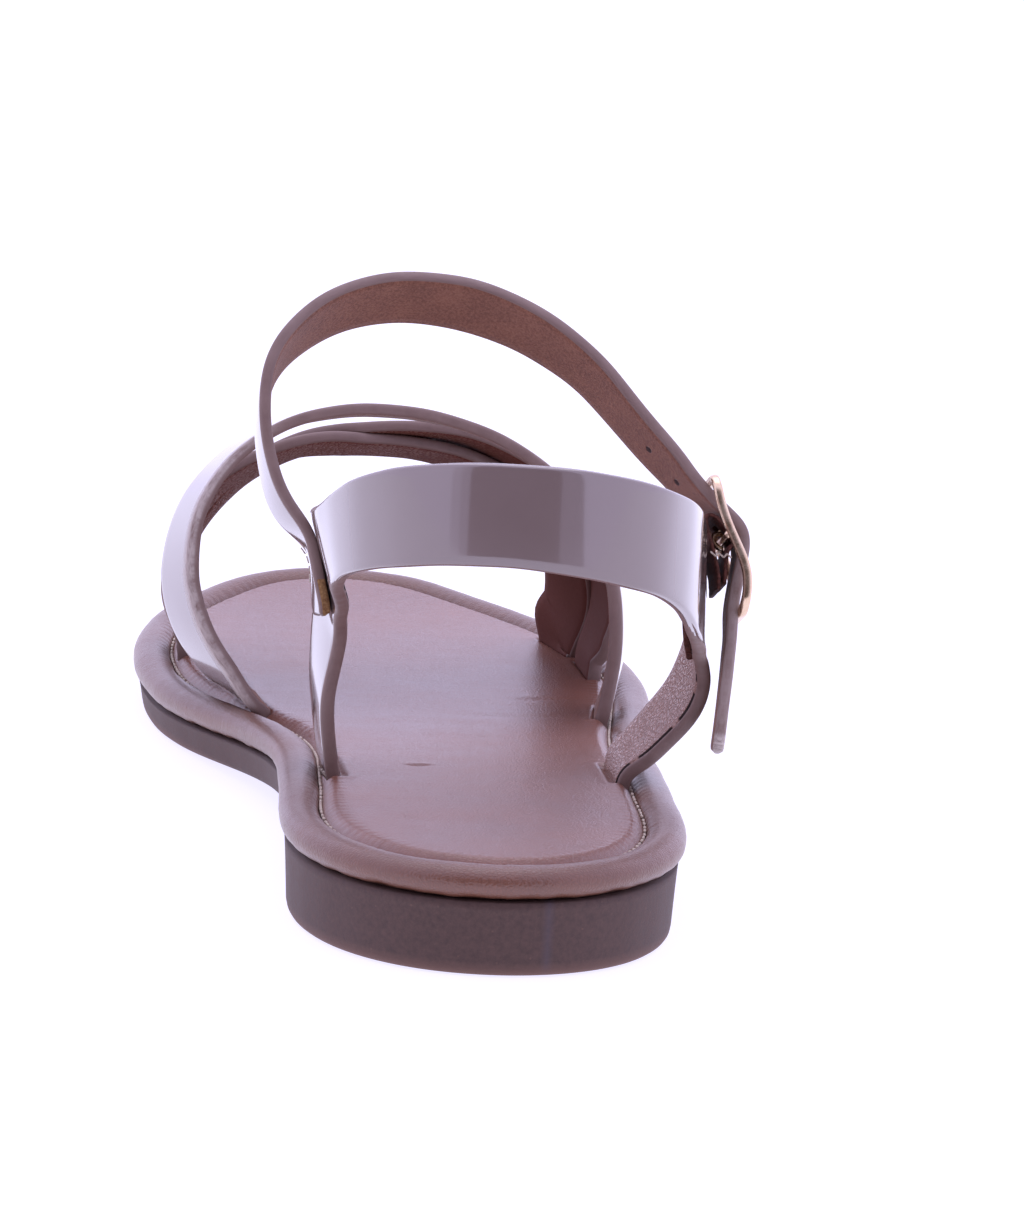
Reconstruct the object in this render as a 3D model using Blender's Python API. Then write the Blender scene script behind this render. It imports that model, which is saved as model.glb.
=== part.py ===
"""Right-foot flat sandal: unit sole, padded footbed, instep strap, two crossed vamp straps,
heel band with two legs, and an ankle strap fastened by a centre-bar buckle.

Sizes are in millimetres. X runs from the medial to the lateral side, Y from heel to toe, Z up.
"""
import math

import bmesh
import bpy
import numpy as np
from mathutils import Vector

MM = 0.001
FIT_GAP = 0.3

# Sole and footbed
SEAT_HEEL = 11.4
SEAT_BALL = 4.7
SEAT_DROP_FROM = 45.0
SEAT_DROP_TO = 168.0
TOE_SPRING_FROM = 202.0
TOE_SPRING = 2.6
HEEL_BREAST = 60.0
BREAST_RUN = 2.0
SOLE_LIP = 1.0
SOLE_DRAFT = 0.7
SOLE_EDGE = 1.2
FOOTBED_THICKNESS = 5.3
ROLL_WIDTH = 6.3
GROOVE_DEPTH = 1.7
PAD_EDGE = 2.2

# Rim outline: y, medial x, lateral x
HEEL_BACK = (1.5, 0.0)
TOE_TIP = (-6.0, 248.6)
OUTLINE = (
    (3.0, -11.0, 14.0),
    (10.0, -19.8, 22.9),
    (22.0, -26.6, 29.6),
    (38.0, -29.4, 32.6),
    (60.0, -28.2, 33.2),
    (62.0, -28.1, 33.3),
    (85.0, -26.8, 34.0),
    (108.0, -27.4, 35.0),
    (126.0, -31.2, 36.8),
    (146.0, -38.2, 39.3),
    (165.0, -42.8, 41.2),
    (183.0, -44.0, 40.8),
    (201.0, -42.6, 37.0),
    (218.0, -38.4, 29.2),
    (234.0, -29.8, 18.4),
    (244.0, -20.6, 8.8),
)

# Last sections over the forefoot: y, crest x, crest z, medial x, medial z, lateral x, lateral z
LAST = (
    (122.0, -10.5, 64.0, -33.8, 39.0, 30.2, 25.5),
    (130.0, -10.0, 61.9, -36.8, 36.0, 31.2, 25.0),
    (138.0, -9.5, 59.6, -38.7, 33.0, 32.4, 24.5),
    (146.0, -9.0, 57.2, -40.2, 30.0, 33.6, 24.0),
    (155.0, -10.0, 53.6, -38.6, 27.6, 33.8, 22.5),
    (168.0, -10.0, 47.6, -36.8, 24.6, 32.9, 19.5),
    (182.0, -9.0, 40.8, -37.0, 20.6, 31.8, 16.5),
    (205.0, -8.0, 32.0, -34.0, 18.0, 24.0, 14.5),
)
LAST_ROUNDNESS = 2.1
LAST_TUCK = 0.5
ROOT_RISE = 3.2
MEDIAL_TURN = 0.16
CREST_TURN = 0.46
LATERAL_TURN = 0.84

# Straps laid on the last: share of the way from the medial to the lateral slot, y of the middle
STRAP_WIDTH = 15.0
STRAP_THICKNESS = 2.5
INSTEP_ROWS = ((0.0, 138.0), (0.46, 138.0), (1.0, 137.5))
INSTEP_INSETS = (9.0, 8.0)
UPPER_CROSS_ROWS = ((0.0, 187.0), (0.12, 186.0), (0.46, 162.0), (0.86, 174.4), (1.0, 174.6))
UPPER_CROSS_INSETS = (8.6, 9.3)
LOWER_CROSS_ROWS = ((0.0, 157.0), (0.12, 157.0), (0.46, 162.0), (0.86, 191.5), (1.0, 193.0))
LOWER_CROSS_INSETS = (13.0, 10.0)
CROSS_STAND = 1.2
CROSS_RAISE = 2.2
CROSS_MIDDLE = 0.48
CROSS_REACH = 0.36

# Heel strap: front or top edge x, y, z and rear or bottom edge x, y, z
HEEL_THICKNESS = 2.2
HEEL_STRAP = (
    (-19.6, 79.5, 15.2, -20.0, 62.5, 15.8),
    (-21.6, 79.0, 28.0, -22.4, 61.5, 28.0),
    (-21.6, 76.5, 41.0, -20.2, 60.0, 38.5),
    (-21.8, 71.0, 50.0, -20.6, 55.0, 45.5),
    (-22.6, 61.0, 56.6, -21.6, 47.0, 49.0),
    (-23.6, 47.0, 62.0, -22.4, 37.0, 52.0),
    (-22.4, 28.0, 68.8, -21.0, 24.0, 56.0),
    (-12.6, 11.2, 75.2, -12.2, 8.9, 60.4),
    (3.0, 5.0, 76.8, 3.0, 3.0, 61.4),
    (17.7, 8.8, 74.4, 17.6, 6.8, 58.6),
    (26.0, 18.6, 70.4, 26.0, 16.8, 54.3),
    (31.6, 37.0, 64.2, 31.6, 34.0, 46.0),
    (34.8, 56.0, 57.5, 34.4, 48.0, 40.2),
    (36.2, 69.5, 50.4, 36.0, 57.0, 36.4),
    (36.9, 77.3, 38.6, 37.0, 60.0, 32.6),
    (34.8, 79.2, 30.2, 35.9, 61.2, 28.0),
    (31.3, 80.0, 24.6, 32.2, 62.0, 23.0),
    (28.0, 80.0, 20.4, 28.8, 62.3, 19.6),
    (25.7, 80.0, 17.4, 26.0, 62.5, 17.2),
    (25.4, 80.0, 15.0, 25.4, 62.5, 15.0),
)

# Ankle strap: middle x, y, z and the lean of its width from level, in degrees; the tail's turn last.
# Buckle lead: distance before the frame, distance under it and extra lean
ANKLE_WIDTH = 10.5
ANKLE_THICKNESS = 2.1
ANKLE_ON_LEG = ((62.0, 44.0), (63.0, 48.0), (64.2, 52.0))
ANKLE_LEG_LEAN = 24.0
ANKLE_STRAP = (
    (-28.2, 65.2, 56.6, 28.0),
    (-31.0, 66.5, 62.3, 31.0),
    (-32.5, 68.5, 70.0, 32.0),
    (-31.6, 70.8, 77.6, 37.5),
    (-27.4, 74.0, 83.1, 44.0),
    (-20.0, 77.0, 87.2, 49.5),
    (-10.0, 78.5, 88.9, 53.4),
    (1.0, 78.0, 87.6, 56.2),
    (9.3, 76.0, 84.6, 53.8),
    (19.4, 73.9, 77.5, 47.8),
    (26.6, 71.6, 69.9, 45.6),
)
TAIL_ROWS = (
    (39.9, 59.3, 37.8, 15.0, 0.08),
    (39.7, 58.4, 31.0, 11.0, 0.1),
    (39.1, 57.2, 22.6, 8.0, 0.1),
)
TAIL_POINT = 3.0
BUCKLE_LEAD = ((3.0, 3.0, 20.0), (0.0, 1.4, 15.0))

# Buckle
BUCKLE_PLACE = (39.5, 65.0, 53.0)
BUCKLE_TILT = 11.3
BUCKLE_TURN = 5.0
BUCKLE_SWING = 20.0
BUCKLE_HALF_LENGTH = 10.6
BUCKLE_HALF_WIDTH = 7.2
BUCKLE_CORNER = 2.6
BAR_RADIUS = 0.7
CENTRE_BAR_RADIUS = 0.6
BAR_SET_BACK = 0.5
BAR_DOWN = -1.5
PRONG_RADIUS = 0.45
TAB_WIDTH = 8.4
TAB_THICKNESS = 0.5
TAB_LENGTH = 7.0
TAB_LEAN = 2.6
PRONG_SLOT = 2.2

# Bow of the buckle frame: share of its half length, distance out
BUCKLE_BOW = ((-1.0, 0.0), (-0.5, 0.05), (0.0, 1.0), (0.45, 1.65), (0.8, 0.85), (1.0, 0.0))


def smoothstep(value, start, stop):
    """Ease from 0 to 1 between two places."""
    t = np.clip((np.asarray(value, float) - start) / (stop - start), 0.0, 1.0)
    return t * t * (3.0 - 2.0 * t)


def spline(knots, values, places, closed=False):
    """Smooth curve through table rows at growing knots, read at the given places."""
    knots = np.asarray(knots, float)
    values = np.asarray(values, float).reshape(len(knots), -1)
    count = len(knots)
    step = np.diff(knots)
    matrix = np.zeros((count, count))
    right = np.zeros_like(values)
    for i in range(1, count - 1):
        matrix[i, i - 1:i + 2] = (step[i - 1], 2.0 * (step[i - 1] + step[i]), step[i])
        right[i] = 6.0 * ((values[i + 1] - values[i]) / step[i] - (values[i] - values[i - 1]) / step[i - 1])
    if closed:
        matrix[0, 0] = 1.0
        matrix[0, -1] = -1.0
        matrix[-1, 0:2] = (2.0 * step[0], step[0])
        matrix[-1, -2:] += (step[-1], 2.0 * step[-1])
        right[-1] = 6.0 * ((values[1] - values[0]) / step[0] - (values[-1] - values[-2]) / step[-1])
    else:
        matrix[0, 0] = 1.0
        matrix[-1, -1] = 1.0
    bend = np.linalg.solve(matrix, right)
    places = np.asarray(places, float)
    span = np.clip(np.searchsorted(knots, places, side="right") - 1, 0, count - 2)
    h = step[span][:, None]
    a = (knots[span + 1] - places)[:, None] / h
    b = (places - knots[span])[:, None] / h
    return (a * values[span] + b * values[span + 1]
            + ((a ** 3 - a) * bend[span] + (b ** 3 - b) * bend[span + 1]) * h * h / 6.0)


def chord_knots(points):
    """Growing knots spaced by the distance between rows."""
    lengths = np.linalg.norm(np.diff(np.asarray(points, float), axis=0), axis=1)
    return np.concatenate([[0.0], np.cumsum(lengths)])


def even_places(points, spacing):
    """Row numbers that cut a run of points into even lengths."""
    along = chord_knots(points)
    count = max(2, int(round(along[-1] / spacing)) + 1)
    return np.interp(np.linspace(0.0, along[-1], count), along, np.arange(len(points)))


def unit(vectors):
    """Vectors scaled to length one."""
    vectors = np.asarray(vectors, float)
    return vectors / np.linalg.norm(vectors, axis=-1, keepdims=True)


def rim_outline():
    """Closed rim curve and its inward normals, with matching points on the two sides."""
    medial = [(row[1], row[0]) for row in OUTLINE]
    lateral = [(row[2], row[0]) for row in OUTLINE]
    points = np.array([HEEL_BACK] + medial + [TOE_TIP] + lateral[::-1] + [HEEL_BACK])
    knots = chord_knots(points)
    rows = len(OUTLINE) + 1
    cuts = []
    for i in range(rows):
        longest = max(knots[i + 1] - knots[i], knots[-1 - i] - knots[-2 - i])
        cuts.append(max(1, int(math.ceil(longest / 5.5))))
    cuts = cuts + cuts[::-1]
    places = []
    for i, cut in enumerate(cuts):
        places.extend(knots[i] + (knots[i + 1] - knots[i]) * np.arange(cut) / cut)
    places = np.array(places)
    curve = spline(knots, points, places, closed=True)
    ahead = spline(knots, points, np.minimum(places + 0.05, knots[-1]), closed=True)
    behind = spline(knots, points, np.maximum(places - 0.05, 0.0), closed=True)
    along = unit(ahead - behind)
    inward = np.stack([along[:, 1], -along[:, 0]], axis=1)
    if np.dot(inward[0], np.array([0.0, 1.0])) < 0.0:
        inward = -inward
    return curve, inward


RIM, RIM_INWARD = rim_outline()
RIM_HALF = len(RIM) // 2


def rim_x(y, side):
    """Rim x at a station, on the medial (-1) or lateral (+1) side."""
    half = RIM[:RIM_HALF + 1] if side < 0 else np.vstack([RIM[RIM_HALF:], RIM[:1]])[::-1]
    return np.interp(y, half[:, 1], half[:, 0])


def seat_height(y):
    """Top of the outsole, where the footbed sits."""
    drop = (SEAT_HEEL - SEAT_BALL) * smoothstep(y, SEAT_DROP_FROM, SEAT_DROP_TO)
    toe = np.clip((np.asarray(y, float) - TOE_SPRING_FROM) / (TOE_TIP[1] - TOE_SPRING_FROM), 0.0, 1.0)
    return SEAT_HEEL - drop + TOE_SPRING * toe ** 2


def tread_height(y):
    """Underside of the outsole: flat heel, raised arch, flat ball, toe spring."""
    arch = seat_height(y) - SEAT_BALL
    return arch * smoothstep(y, HEEL_BREAST - 0.01, HEEL_BREAST + BREAST_RUN)


def footbed_top(y):
    """Top of the footbed pad."""
    return seat_height(y) + FOOTBED_THICKNESS


def add_object(name, verts, faces, color, roughness, metallic=0.0, cutter=False):
    """One named mesh object with its own material; a cutter stays hidden in renders."""
    mesh = bpy.data.meshes.new(name)
    mesh.from_pydata([tuple(float(c) * MM for c in v) for v in verts], [], faces)
    tidy = bmesh.new()
    tidy.from_mesh(mesh)
    bmesh.ops.recalc_face_normals(tidy, faces=tidy.faces)
    tidy.to_mesh(mesh)
    tidy.free()
    item = bpy.data.objects.new(name, mesh)
    bpy.context.collection.objects.link(item)
    item.parent = ROOT
    material = bpy.data.materials.new(name)
    material.use_nodes = True
    shader = material.node_tree.nodes["Principled BSDF"]
    shader.inputs["Base Color"].default_value = (*color, 1.0)
    shader.inputs["Roughness"].default_value = roughness
    shader.inputs["Metallic"].default_value = metallic
    mesh.materials.append(material)
    if cutter:
        item.hide_render = True
        item.display_type = "WIRE"
    return item


def boolean(item, other, operation):
    """Cut or join one object with another."""
    modifier = item.modifiers.new(operation.lower(), "BOOLEAN")
    modifier.operation = operation
    modifier.solver = "EXACT"
    modifier.object = other


def loft(loops):
    """Closed body through equal loops, with flat ends."""
    count = len(loops[0])
    verts = [v for loop in loops for v in loop]
    faces = []
    for i in range(len(loops) - 1):
        for j in range(count):
            k = (j + 1) % count
            faces.append((i * count + j, i * count + k, (i + 1) * count + k, (i + 1) * count + j))
    faces.append(tuple(range(count))[::-1])
    faces.append(tuple((len(loops) - 1) * count + j for j in range(count)))
    return verts, faces


def ring(loops):
    """Closed body through equal loops that run back to the first loop."""
    count = len(loops[0])
    total = len(loops)
    verts = [v for loop in loops for v in loop]
    faces = []
    for i in range(total):
        n = (i + 1) % total
        for j in range(count):
            k = (j + 1) % count
            faces.append((i * count + j, i * count + k, n * count + k, n * count + j))
    return verts, faces


def join(bodies):
    """Several closed bodies gathered in one vertex and face list."""
    verts = []
    faces = []
    for body_verts, body_faces in bodies:
        start = len(verts)
        verts.extend(body_verts)
        faces.extend(tuple(i + start for i in face) for face in body_faces)
    return verts, faces


def rim_loop(inset, height):
    """Rim curve moved inward and lifted to a height worked out from y."""
    flat = RIM + RIM_INWARD * inset
    return np.column_stack([flat, height(flat[:, 1])])


def ladder(start, count, flip):
    """Rungs between the medial and lateral halves of a loop."""
    half = count // 2
    faces = []
    for i in range(half):
        left = (start + i, start + i + 1)
        right = (start + (count - i) % count, start + (count - i - 1) % count)
        face = [left[0], left[1], right[1], right[0]]
        face = list(dict.fromkeys(face))
        faces.append(tuple(face[::-1] if flip else face))
    return faces


def rim_stack(loops):
    """Closed body through rim loops, its first and last loops filled with rungs."""
    count = len(RIM)
    verts, faces = loft(loops)
    faces = faces[:-2]
    faces += ladder(0, count, True)
    faces += ladder((len(loops) - 1) * count, count, False)
    return verts, faces


def make_outsole():
    """Unit sole: low heel, waisted arch, flat ball and toe spring."""
    def side(share):
        return lambda y: tread_height(y) + (seat_height(y) - tread_height(y)) * share

    def above_tread(rise):
        return lambda y: tread_height(y) + rise

    loops = [
        rim_loop(SOLE_LIP, seat_height),
        rim_loop(SOLE_LIP + SOLE_DRAFT * 0.5, side(0.5)),
        rim_loop(SOLE_LIP + SOLE_DRAFT, above_tread(SOLE_EDGE)),
        rim_loop(SOLE_LIP + SOLE_DRAFT + SOLE_EDGE * 0.3, above_tread(SOLE_EDGE * 0.3)),
        rim_loop(SOLE_LIP + SOLE_DRAFT + SOLE_EDGE, tread_height),
    ]
    verts, faces = rim_stack(loops)
    return add_object("outsole", verts, faces, (0.17, 0.125, 0.10), 0.55)


def roll_profile():
    """Inset and height of the rolled rim, from the seat round to the stitched groove and the pad."""
    wide = ROLL_WIDTH * 0.5
    high = (FOOTBED_THICKNESS - FIT_GAP) * 0.5
    rows = []
    for angle in (-70.0, -40.0, -5.0, 30.0, 60.0, 90.0, 120.0, 142.0):
        turn = math.radians(angle)
        rows.append((wide - wide * math.cos(turn), FIT_GAP + high + high * math.sin(turn)))
    rows.append((ROLL_WIDTH, FOOTBED_THICKNESS - GROOVE_DEPTH))
    for share in (0.35, 0.7, 1.0):
        rise = GROOVE_DEPTH * math.sin(share * math.pi / 2.0)
        rows.append((ROLL_WIDTH + 0.5 + PAD_EDGE * share, FOOTBED_THICKNESS - GROOVE_DEPTH + rise))
    return rows


def make_footbed(slots):
    """Padded footbed with a rolled rim, a stitched groove and slots for the straps."""
    def over_seat(rise):
        return lambda y: seat_height(y) + rise

    loops = [rim_loop(ROLL_WIDTH, over_seat(FIT_GAP))]
    for inset, rise in roll_profile():
        loops.append(rim_loop(inset, over_seat(rise)))
    verts, faces = rim_stack(loops)
    footbed = add_object("footbed", verts, faces, (0.60, 0.42, 0.36), 0.6)
    cutter = add_object("footbed_slots", *slots, (0.3, 0.3, 0.3), 0.5, cutter=True)
    boolean(footbed, cutter, "DIFFERENCE")
    return footbed


def last_row(y):
    """Crest and bulge sizes of the last at a station."""
    table = np.array(LAST)
    return spline(table[:, 0], table[:, 1:], [y])[0]


def last_point(y, share, insets):
    """Point on the last, a share of the way from the medial to the lateral slot."""
    crest_x, crest_z, medial_x, medial_z, lateral_x, lateral_z = last_row(y)
    base = float(footbed_top(y))
    if share <= CREST_TURN:
        bulge = (medial_x, medial_z)
        foot = (rim_x(y, -1) + insets[0], base)
        turn = MEDIAL_TURN
    else:
        bulge = (lateral_x, lateral_z)
        foot = (rim_x(y, 1) - insets[1], base)
        turn = 1.0 - LATERAL_TURN
    lower = share if share <= CREST_TURN else 1.0 - share
    if lower <= turn:
        t = lower / turn
        curve = (foot, (foot[0], foot[1] + ROOT_RISE),
                 (bulge[0], foot[1] + LAST_TUCK * (bulge[1] - foot[1])), bulge)
        weights = ((1 - t) ** 3, 3 * t * (1 - t) ** 2, 3 * t * t * (1 - t), t ** 3)
        x = sum(w * point[0] for w, point in zip(weights, curve))
        z = sum(w * point[1] for w, point in zip(weights, curve))
    else:
        reach = CREST_TURN if share <= CREST_TURN else 1.0 - CREST_TURN
        angle = min(1.0, (lower - turn) / (reach - turn)) * math.pi / 2.0
        power = 2.0 / LAST_ROUNDNESS
        x = crest_x + (bulge[0] - crest_x) * max(0.0, math.cos(angle)) ** power
        z = bulge[1] + (crest_z - bulge[1]) * math.sin(angle) ** power
    return np.array([x, y, z])


def strap_middle(rows, insets, lift):
    """Middles and width directions of a strap laid over the last, with its ends set in the slots."""
    table = np.array(rows)
    shares = np.linspace(0.0, 1.0, 161)
    stations = spline(table[:, 0], table[:, 1], shares)[:, 0]
    middle = np.array([last_point(y, s, insets) for y, s in zip(stations, shares)])
    ahead = np.array([last_point(y + 1.0, s, insets) for y, s in zip(stations, shares)])
    along = unit(np.gradient(middle, axis=0))
    across = ahead - middle
    across = unit(across - along * np.sum(across * along, axis=1, keepdims=True))
    outward = unit(np.cross(along, across))
    middle = middle + outward * np.array([lift(s) for s in shares])[:, None]
    picks = even_places(middle, 3.6)
    index = np.arange(len(shares))
    middle = np.stack([np.interp(picks, index, middle[:, c]) for c in range(3)], axis=1)
    across = unit(np.stack([np.interp(picks, index, across[:, c]) for c in range(3)], axis=1))
    ends = []
    for end in (0, -1):
        floor = middle[end].copy()
        floor[2] = seat_height(floor[1]) + FIT_GAP * 3.0
        hold = middle[end].copy()
        hold[2] -= 1.6
        ends.append((floor, hold))
    middle = np.vstack([[ends[0][0], ends[0][1]], middle, [ends[1][1], ends[1][0]]])
    level = across.copy()
    level[[0, -1], 2] = 0.0
    level = unit(level)
    across = np.vstack([[level[0]] * 2, level, [level[-1]] * 2])
    return middle, across


def band(middle, across, width, thickness):
    """Strap body: a rounded flat section swept along its middle line."""
    middle = np.asarray(middle, float)
    along = unit(np.gradient(middle, axis=0))
    across = unit(across - along * np.sum(across * along, axis=1, keepdims=True))
    outward = unit(np.cross(along, across))
    width = np.broadcast_to(np.asarray(width, float), (len(middle),))
    half = thickness * 0.5
    loops = []
    for m, a, n, w in zip(middle, across, outward, width):
        edge = w * 0.5
        flat = edge - 0.6 * half
        section = ((-edge, -0.5 * half), (-flat, -half), (flat, -half), (edge, -0.5 * half),
                   (edge, 0.5 * half), (flat, half), (-flat, half), (-edge, 0.5 * half))
        loops.append([m + a * u + n * v for u, v in section])
    return loft(loops)


def slot_body(middle, across, width, thickness):
    """Clearance body round the foot of a strap, from below the footbed to above it."""
    clear = 2.0 * FIT_GAP
    low = middle[0] - np.array([0.0, 0.0, 3.0])
    path = np.vstack([[low], middle[:5]])
    sides = np.vstack([[across[0]], across[:5]])
    return band(path, sides, width + clear, thickness + clear)


def both_slots(middle, across, width, thickness):
    """Clearance bodies at both feet of a strap."""
    return [slot_body(middle, across, width, thickness),
            slot_body(middle[::-1], across[::-1], width, thickness)]


def heel_edges(spacing):
    """Middle line, width directions and widths of the heel strap from its two edges."""
    table = np.array(HEEL_STRAP)
    knots = chord_knots((table[:, :3] + table[:, 3:]) * 0.5)
    fine = spline(knots, table, np.linspace(0.0, knots[-1], 401))
    picks = even_places((fine[:, :3] + fine[:, 3:]) * 0.5, spacing)
    fine = np.stack([np.interp(picks, np.arange(401), fine[:, c]) for c in range(6)], axis=1)
    middle = (fine[:, :3] + fine[:, 3:]) * 0.5
    across = fine[:, :3] - fine[:, 3:]
    return middle, across


def make_heel_strap():
    """Heel band cut in one with its two legs; returns its slots."""
    middle, across = heel_edges(4.0)
    ends = []
    for end in (0, -1):
        floor = middle[end].copy()
        floor[2] = seat_height(floor[1]) + FIT_GAP * 3.0
        ends.append(floor)
    middle = np.vstack([[ends[0]], middle, [ends[1]]])
    across = np.vstack([[across[0]], across, [across[-1]]])
    width = np.linalg.norm(across, axis=1)
    for item in (across[:2], across[-2:]):
        item[:, 2] = 0.0
    across = unit(across)
    verts, faces = band(middle, across, width, HEEL_THICKNESS)
    add_object("heel_strap", verts, faces, (0.50, 0.38, 0.33), 0.2)
    return both_slots(middle, across, max(width[0], width[-1]), HEEL_THICKNESS)


def leg_face_x(y, z):
    """Outer face of the medial leg at a height, where the ankle strap is stitched on."""
    middle, across = heel_edges(1.0)
    best = None
    for m, a in zip(middle, across):
        if m[0] > 0.0:
            continue
        for share in np.linspace(-0.5, 0.5, 21):
            point = m + a * share
            gap = math.hypot(point[1] - y, point[2] - z)
            if best is None or gap < best[0]:
                best = (gap, point[0])
    return best[1] - HEEL_THICKNESS * 0.5


def buckle_ways():
    """Directions down the buckle, out from it and across it towards the toe."""
    tilt = math.radians(BUCKLE_TILT)
    turn = math.radians(BUCKLE_TURN)
    swing = math.radians(BUCKLE_SWING)
    fall = np.array([math.sin(tilt), 0.0, -math.cos(tilt)])
    face = np.array([math.cos(tilt), 0.0, math.sin(tilt)])
    ahead = np.array([0.0, math.cos(turn), 0.0]) - face * math.sin(turn)
    out_way = face * math.cos(turn) + np.array([0.0, math.sin(turn), 0.0])
    down_way = fall * math.cos(swing) - ahead * math.sin(swing)
    across_way = ahead * math.cos(swing) + fall * math.sin(swing)
    return down_way, out_way, across_way


def buckle_point(down, out, across):
    """Point in the buckle's own directions, its middle bowed out from the leg."""
    down_way, out_way, across_way = buckle_ways()
    table = np.array(BUCKLE_BOW)
    share = min(1.0, max(-1.0, down / BUCKLE_HALF_LENGTH))
    bow = spline(table[:, 0], table[:, 1], [share])[0, 0]
    return np.array(BUCKLE_PLACE) + down_way * down + out_way * (out + bow) + across_way * across


def ankle_path():
    """Middle line and width directions of the ankle strap, from its stitched end to its tail."""
    half = ANKLE_THICKNESS * 0.5
    rows = []
    lean = math.radians(ANKLE_LEG_LEAN)
    reach = 0.5 * ANKLE_WIDTH
    for y, z in ANKLE_ON_LEG:
        faces = [leg_face_x(y + reach * t * math.cos(lean), z - reach * t * math.sin(lean))
                 for t in (-1.0, -0.5, 0.0, 0.5, 1.0)]
        cant = (faces[4] - faces[0]) / ANKLE_WIDTH
        clear = min(face - cant * reach * t for face, t in zip(faces, (-1.0, -0.5, 0.0, 0.5, 1.0)))
        rows.append((clear - 2.0 * FIT_GAP - half, y, z, ANKLE_LEG_LEAN, cant))
    rows.extend((*row, 0.0) for row in ANKLE_STRAP)
    under = BAR_RADIUS + FIT_GAP + half
    over = CENTRE_BAR_RADIUS - BAR_SET_BACK + 2.0 * FIT_GAP + TAB_THICKNESS + half
    across_way = buckle_ways()[2]
    buckle_lean = math.degrees(math.asin(-across_way[2]))
    end = BUCKLE_HALF_LENGTH
    for before, drop, twist in BUCKLE_LEAD:
        point = buckle_point(-end - before, -under - drop, 0.0)
        rows.append((*point, buckle_lean + twist, across_way[0]))
    for down, out in ((BAR_DOWN - 3.8, 0.45 * over), (BAR_DOWN - 0.2, over), (BAR_DOWN + 4.4, 0.1 * over),
                      (end - 0.8, -under - 0.2), (end + 2.0, -under - 0.1)):
        rows.append((*buckle_point(down, out, 0.0), buckle_lean, across_way[0]))
    rows.extend(TAIL_ROWS)
    table = np.array(rows)
    knots = chord_knots(table[:, :3])
    fine = spline(knots, table, np.linspace(0.0, knots[-1], 801))
    picks = even_places(fine[:, :3], 2.6)
    fine = np.stack([np.interp(picks, np.arange(801), fine[:, c]) for c in range(5)], axis=1)
    lean = np.radians(fine[:, 3])
    across = np.stack([fine[:, 4], np.cos(lean), -np.sin(lean)], axis=1)
    return fine[:, :3], -across


def make_ankle_strap():
    """Ankle strap with its free tail and the hole the prong passes through."""
    middle, across = ankle_path()
    left = chord_knots(middle)[-1] - chord_knots(middle)
    taper = np.sqrt(np.clip(1.0 - (1.0 - np.clip(left / TAIL_POINT, 0.0, 1.0)) ** 2, 0.0, 1.0))
    width = ANKLE_WIDTH * (0.35 + 0.65 * taper)
    verts, faces = band(middle, across, width, ANKLE_THICKNESS)
    strap = add_object("ankle_strap", verts, faces, (0.50, 0.38, 0.33), 0.2)
    hole = [buckle_point(d, o, a) for d in (-8.8, BAR_DOWN - 1.2)
            for o, a in ((-0.9, -0.9), (1.6, -0.9), (1.6, 0.9), (-0.9, 0.9))]
    verts, faces = loft([hole[:4], hole[4:]])
    cutter = add_object("ankle_strap_hole", verts, faces, (0.3, 0.3, 0.3), 0.5, cutter=True)
    boolean(strap, cutter, "DIFFERENCE")
    return strap


def tube(points, radius, sides, closed, side_way):
    """Round bar along a line, its section turned to a given side."""
    points = np.asarray(points, float)
    if closed:
        along = unit(np.roll(points, -1, axis=0) - np.roll(points, 1, axis=0))
    else:
        along = unit(np.gradient(points, axis=0))
    loops = []
    for point, way in zip(points, along):
        first = side_way - way * np.dot(side_way, way)
        first = unit(first)
        second = np.cross(way, first)
        loops.append([point + radius * (first * math.cos(a) + second * math.sin(a))
                      for a in np.arange(sides) * 2.0 * math.pi / sides])
    return ring(loops) if closed else loft(loops)


def make_buckle_frame():
    """Bowed frame with rounded corners and a centre bar."""
    path = frame_path()
    out = buckle_ways()[1]
    verts, faces = tube(path, BAR_RADIUS, 8, True, out)
    frame = add_object("buckle_frame", verts, faces, (0.80, 0.62, 0.36), 0.25, 1.0)
    bar = [buckle_point(BAR_DOWN, -BAR_SET_BACK, a) for a in (-BUCKLE_HALF_WIDTH, BUCKLE_HALF_WIDTH)]
    verts, faces = tube(bar, CENTRE_BAR_RADIUS, 10, False, out)
    middle = add_object("buckle_frame_bar", verts, faces, (0.80, 0.62, 0.36), 0.25, 1.0, cutter=True)
    boolean(frame, middle, "UNION")
    return frame


def frame_path():
    """Rounded rectangle of the buckle frame, bowed along its length."""
    down = BUCKLE_HALF_LENGTH - BUCKLE_CORNER
    wide = BUCKLE_HALF_WIDTH - BUCKLE_CORNER
    flat = []
    for corner in range(4):
        turn = corner * math.pi / 2.0
        centre = (down if corner in (0, 3) else -down, wide if corner in (0, 1) else -wide)
        for angle in np.linspace(turn, turn + math.pi / 2.0, 5):
            flat.append((centre[0] + BUCKLE_CORNER * math.cos(angle),
                         centre[1] + BUCKLE_CORNER * math.sin(angle)))
        if corner in (0, 2):
            start = flat[-1]
            stop = (-start[0], start[1])
            for share in np.linspace(0.0, 1.0, 7)[1:-1]:
                flat.append((start[0] + (stop[0] - start[0]) * share, start[1]))
    return [buckle_point(d, 0.0, a) for d, a in flat]


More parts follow.
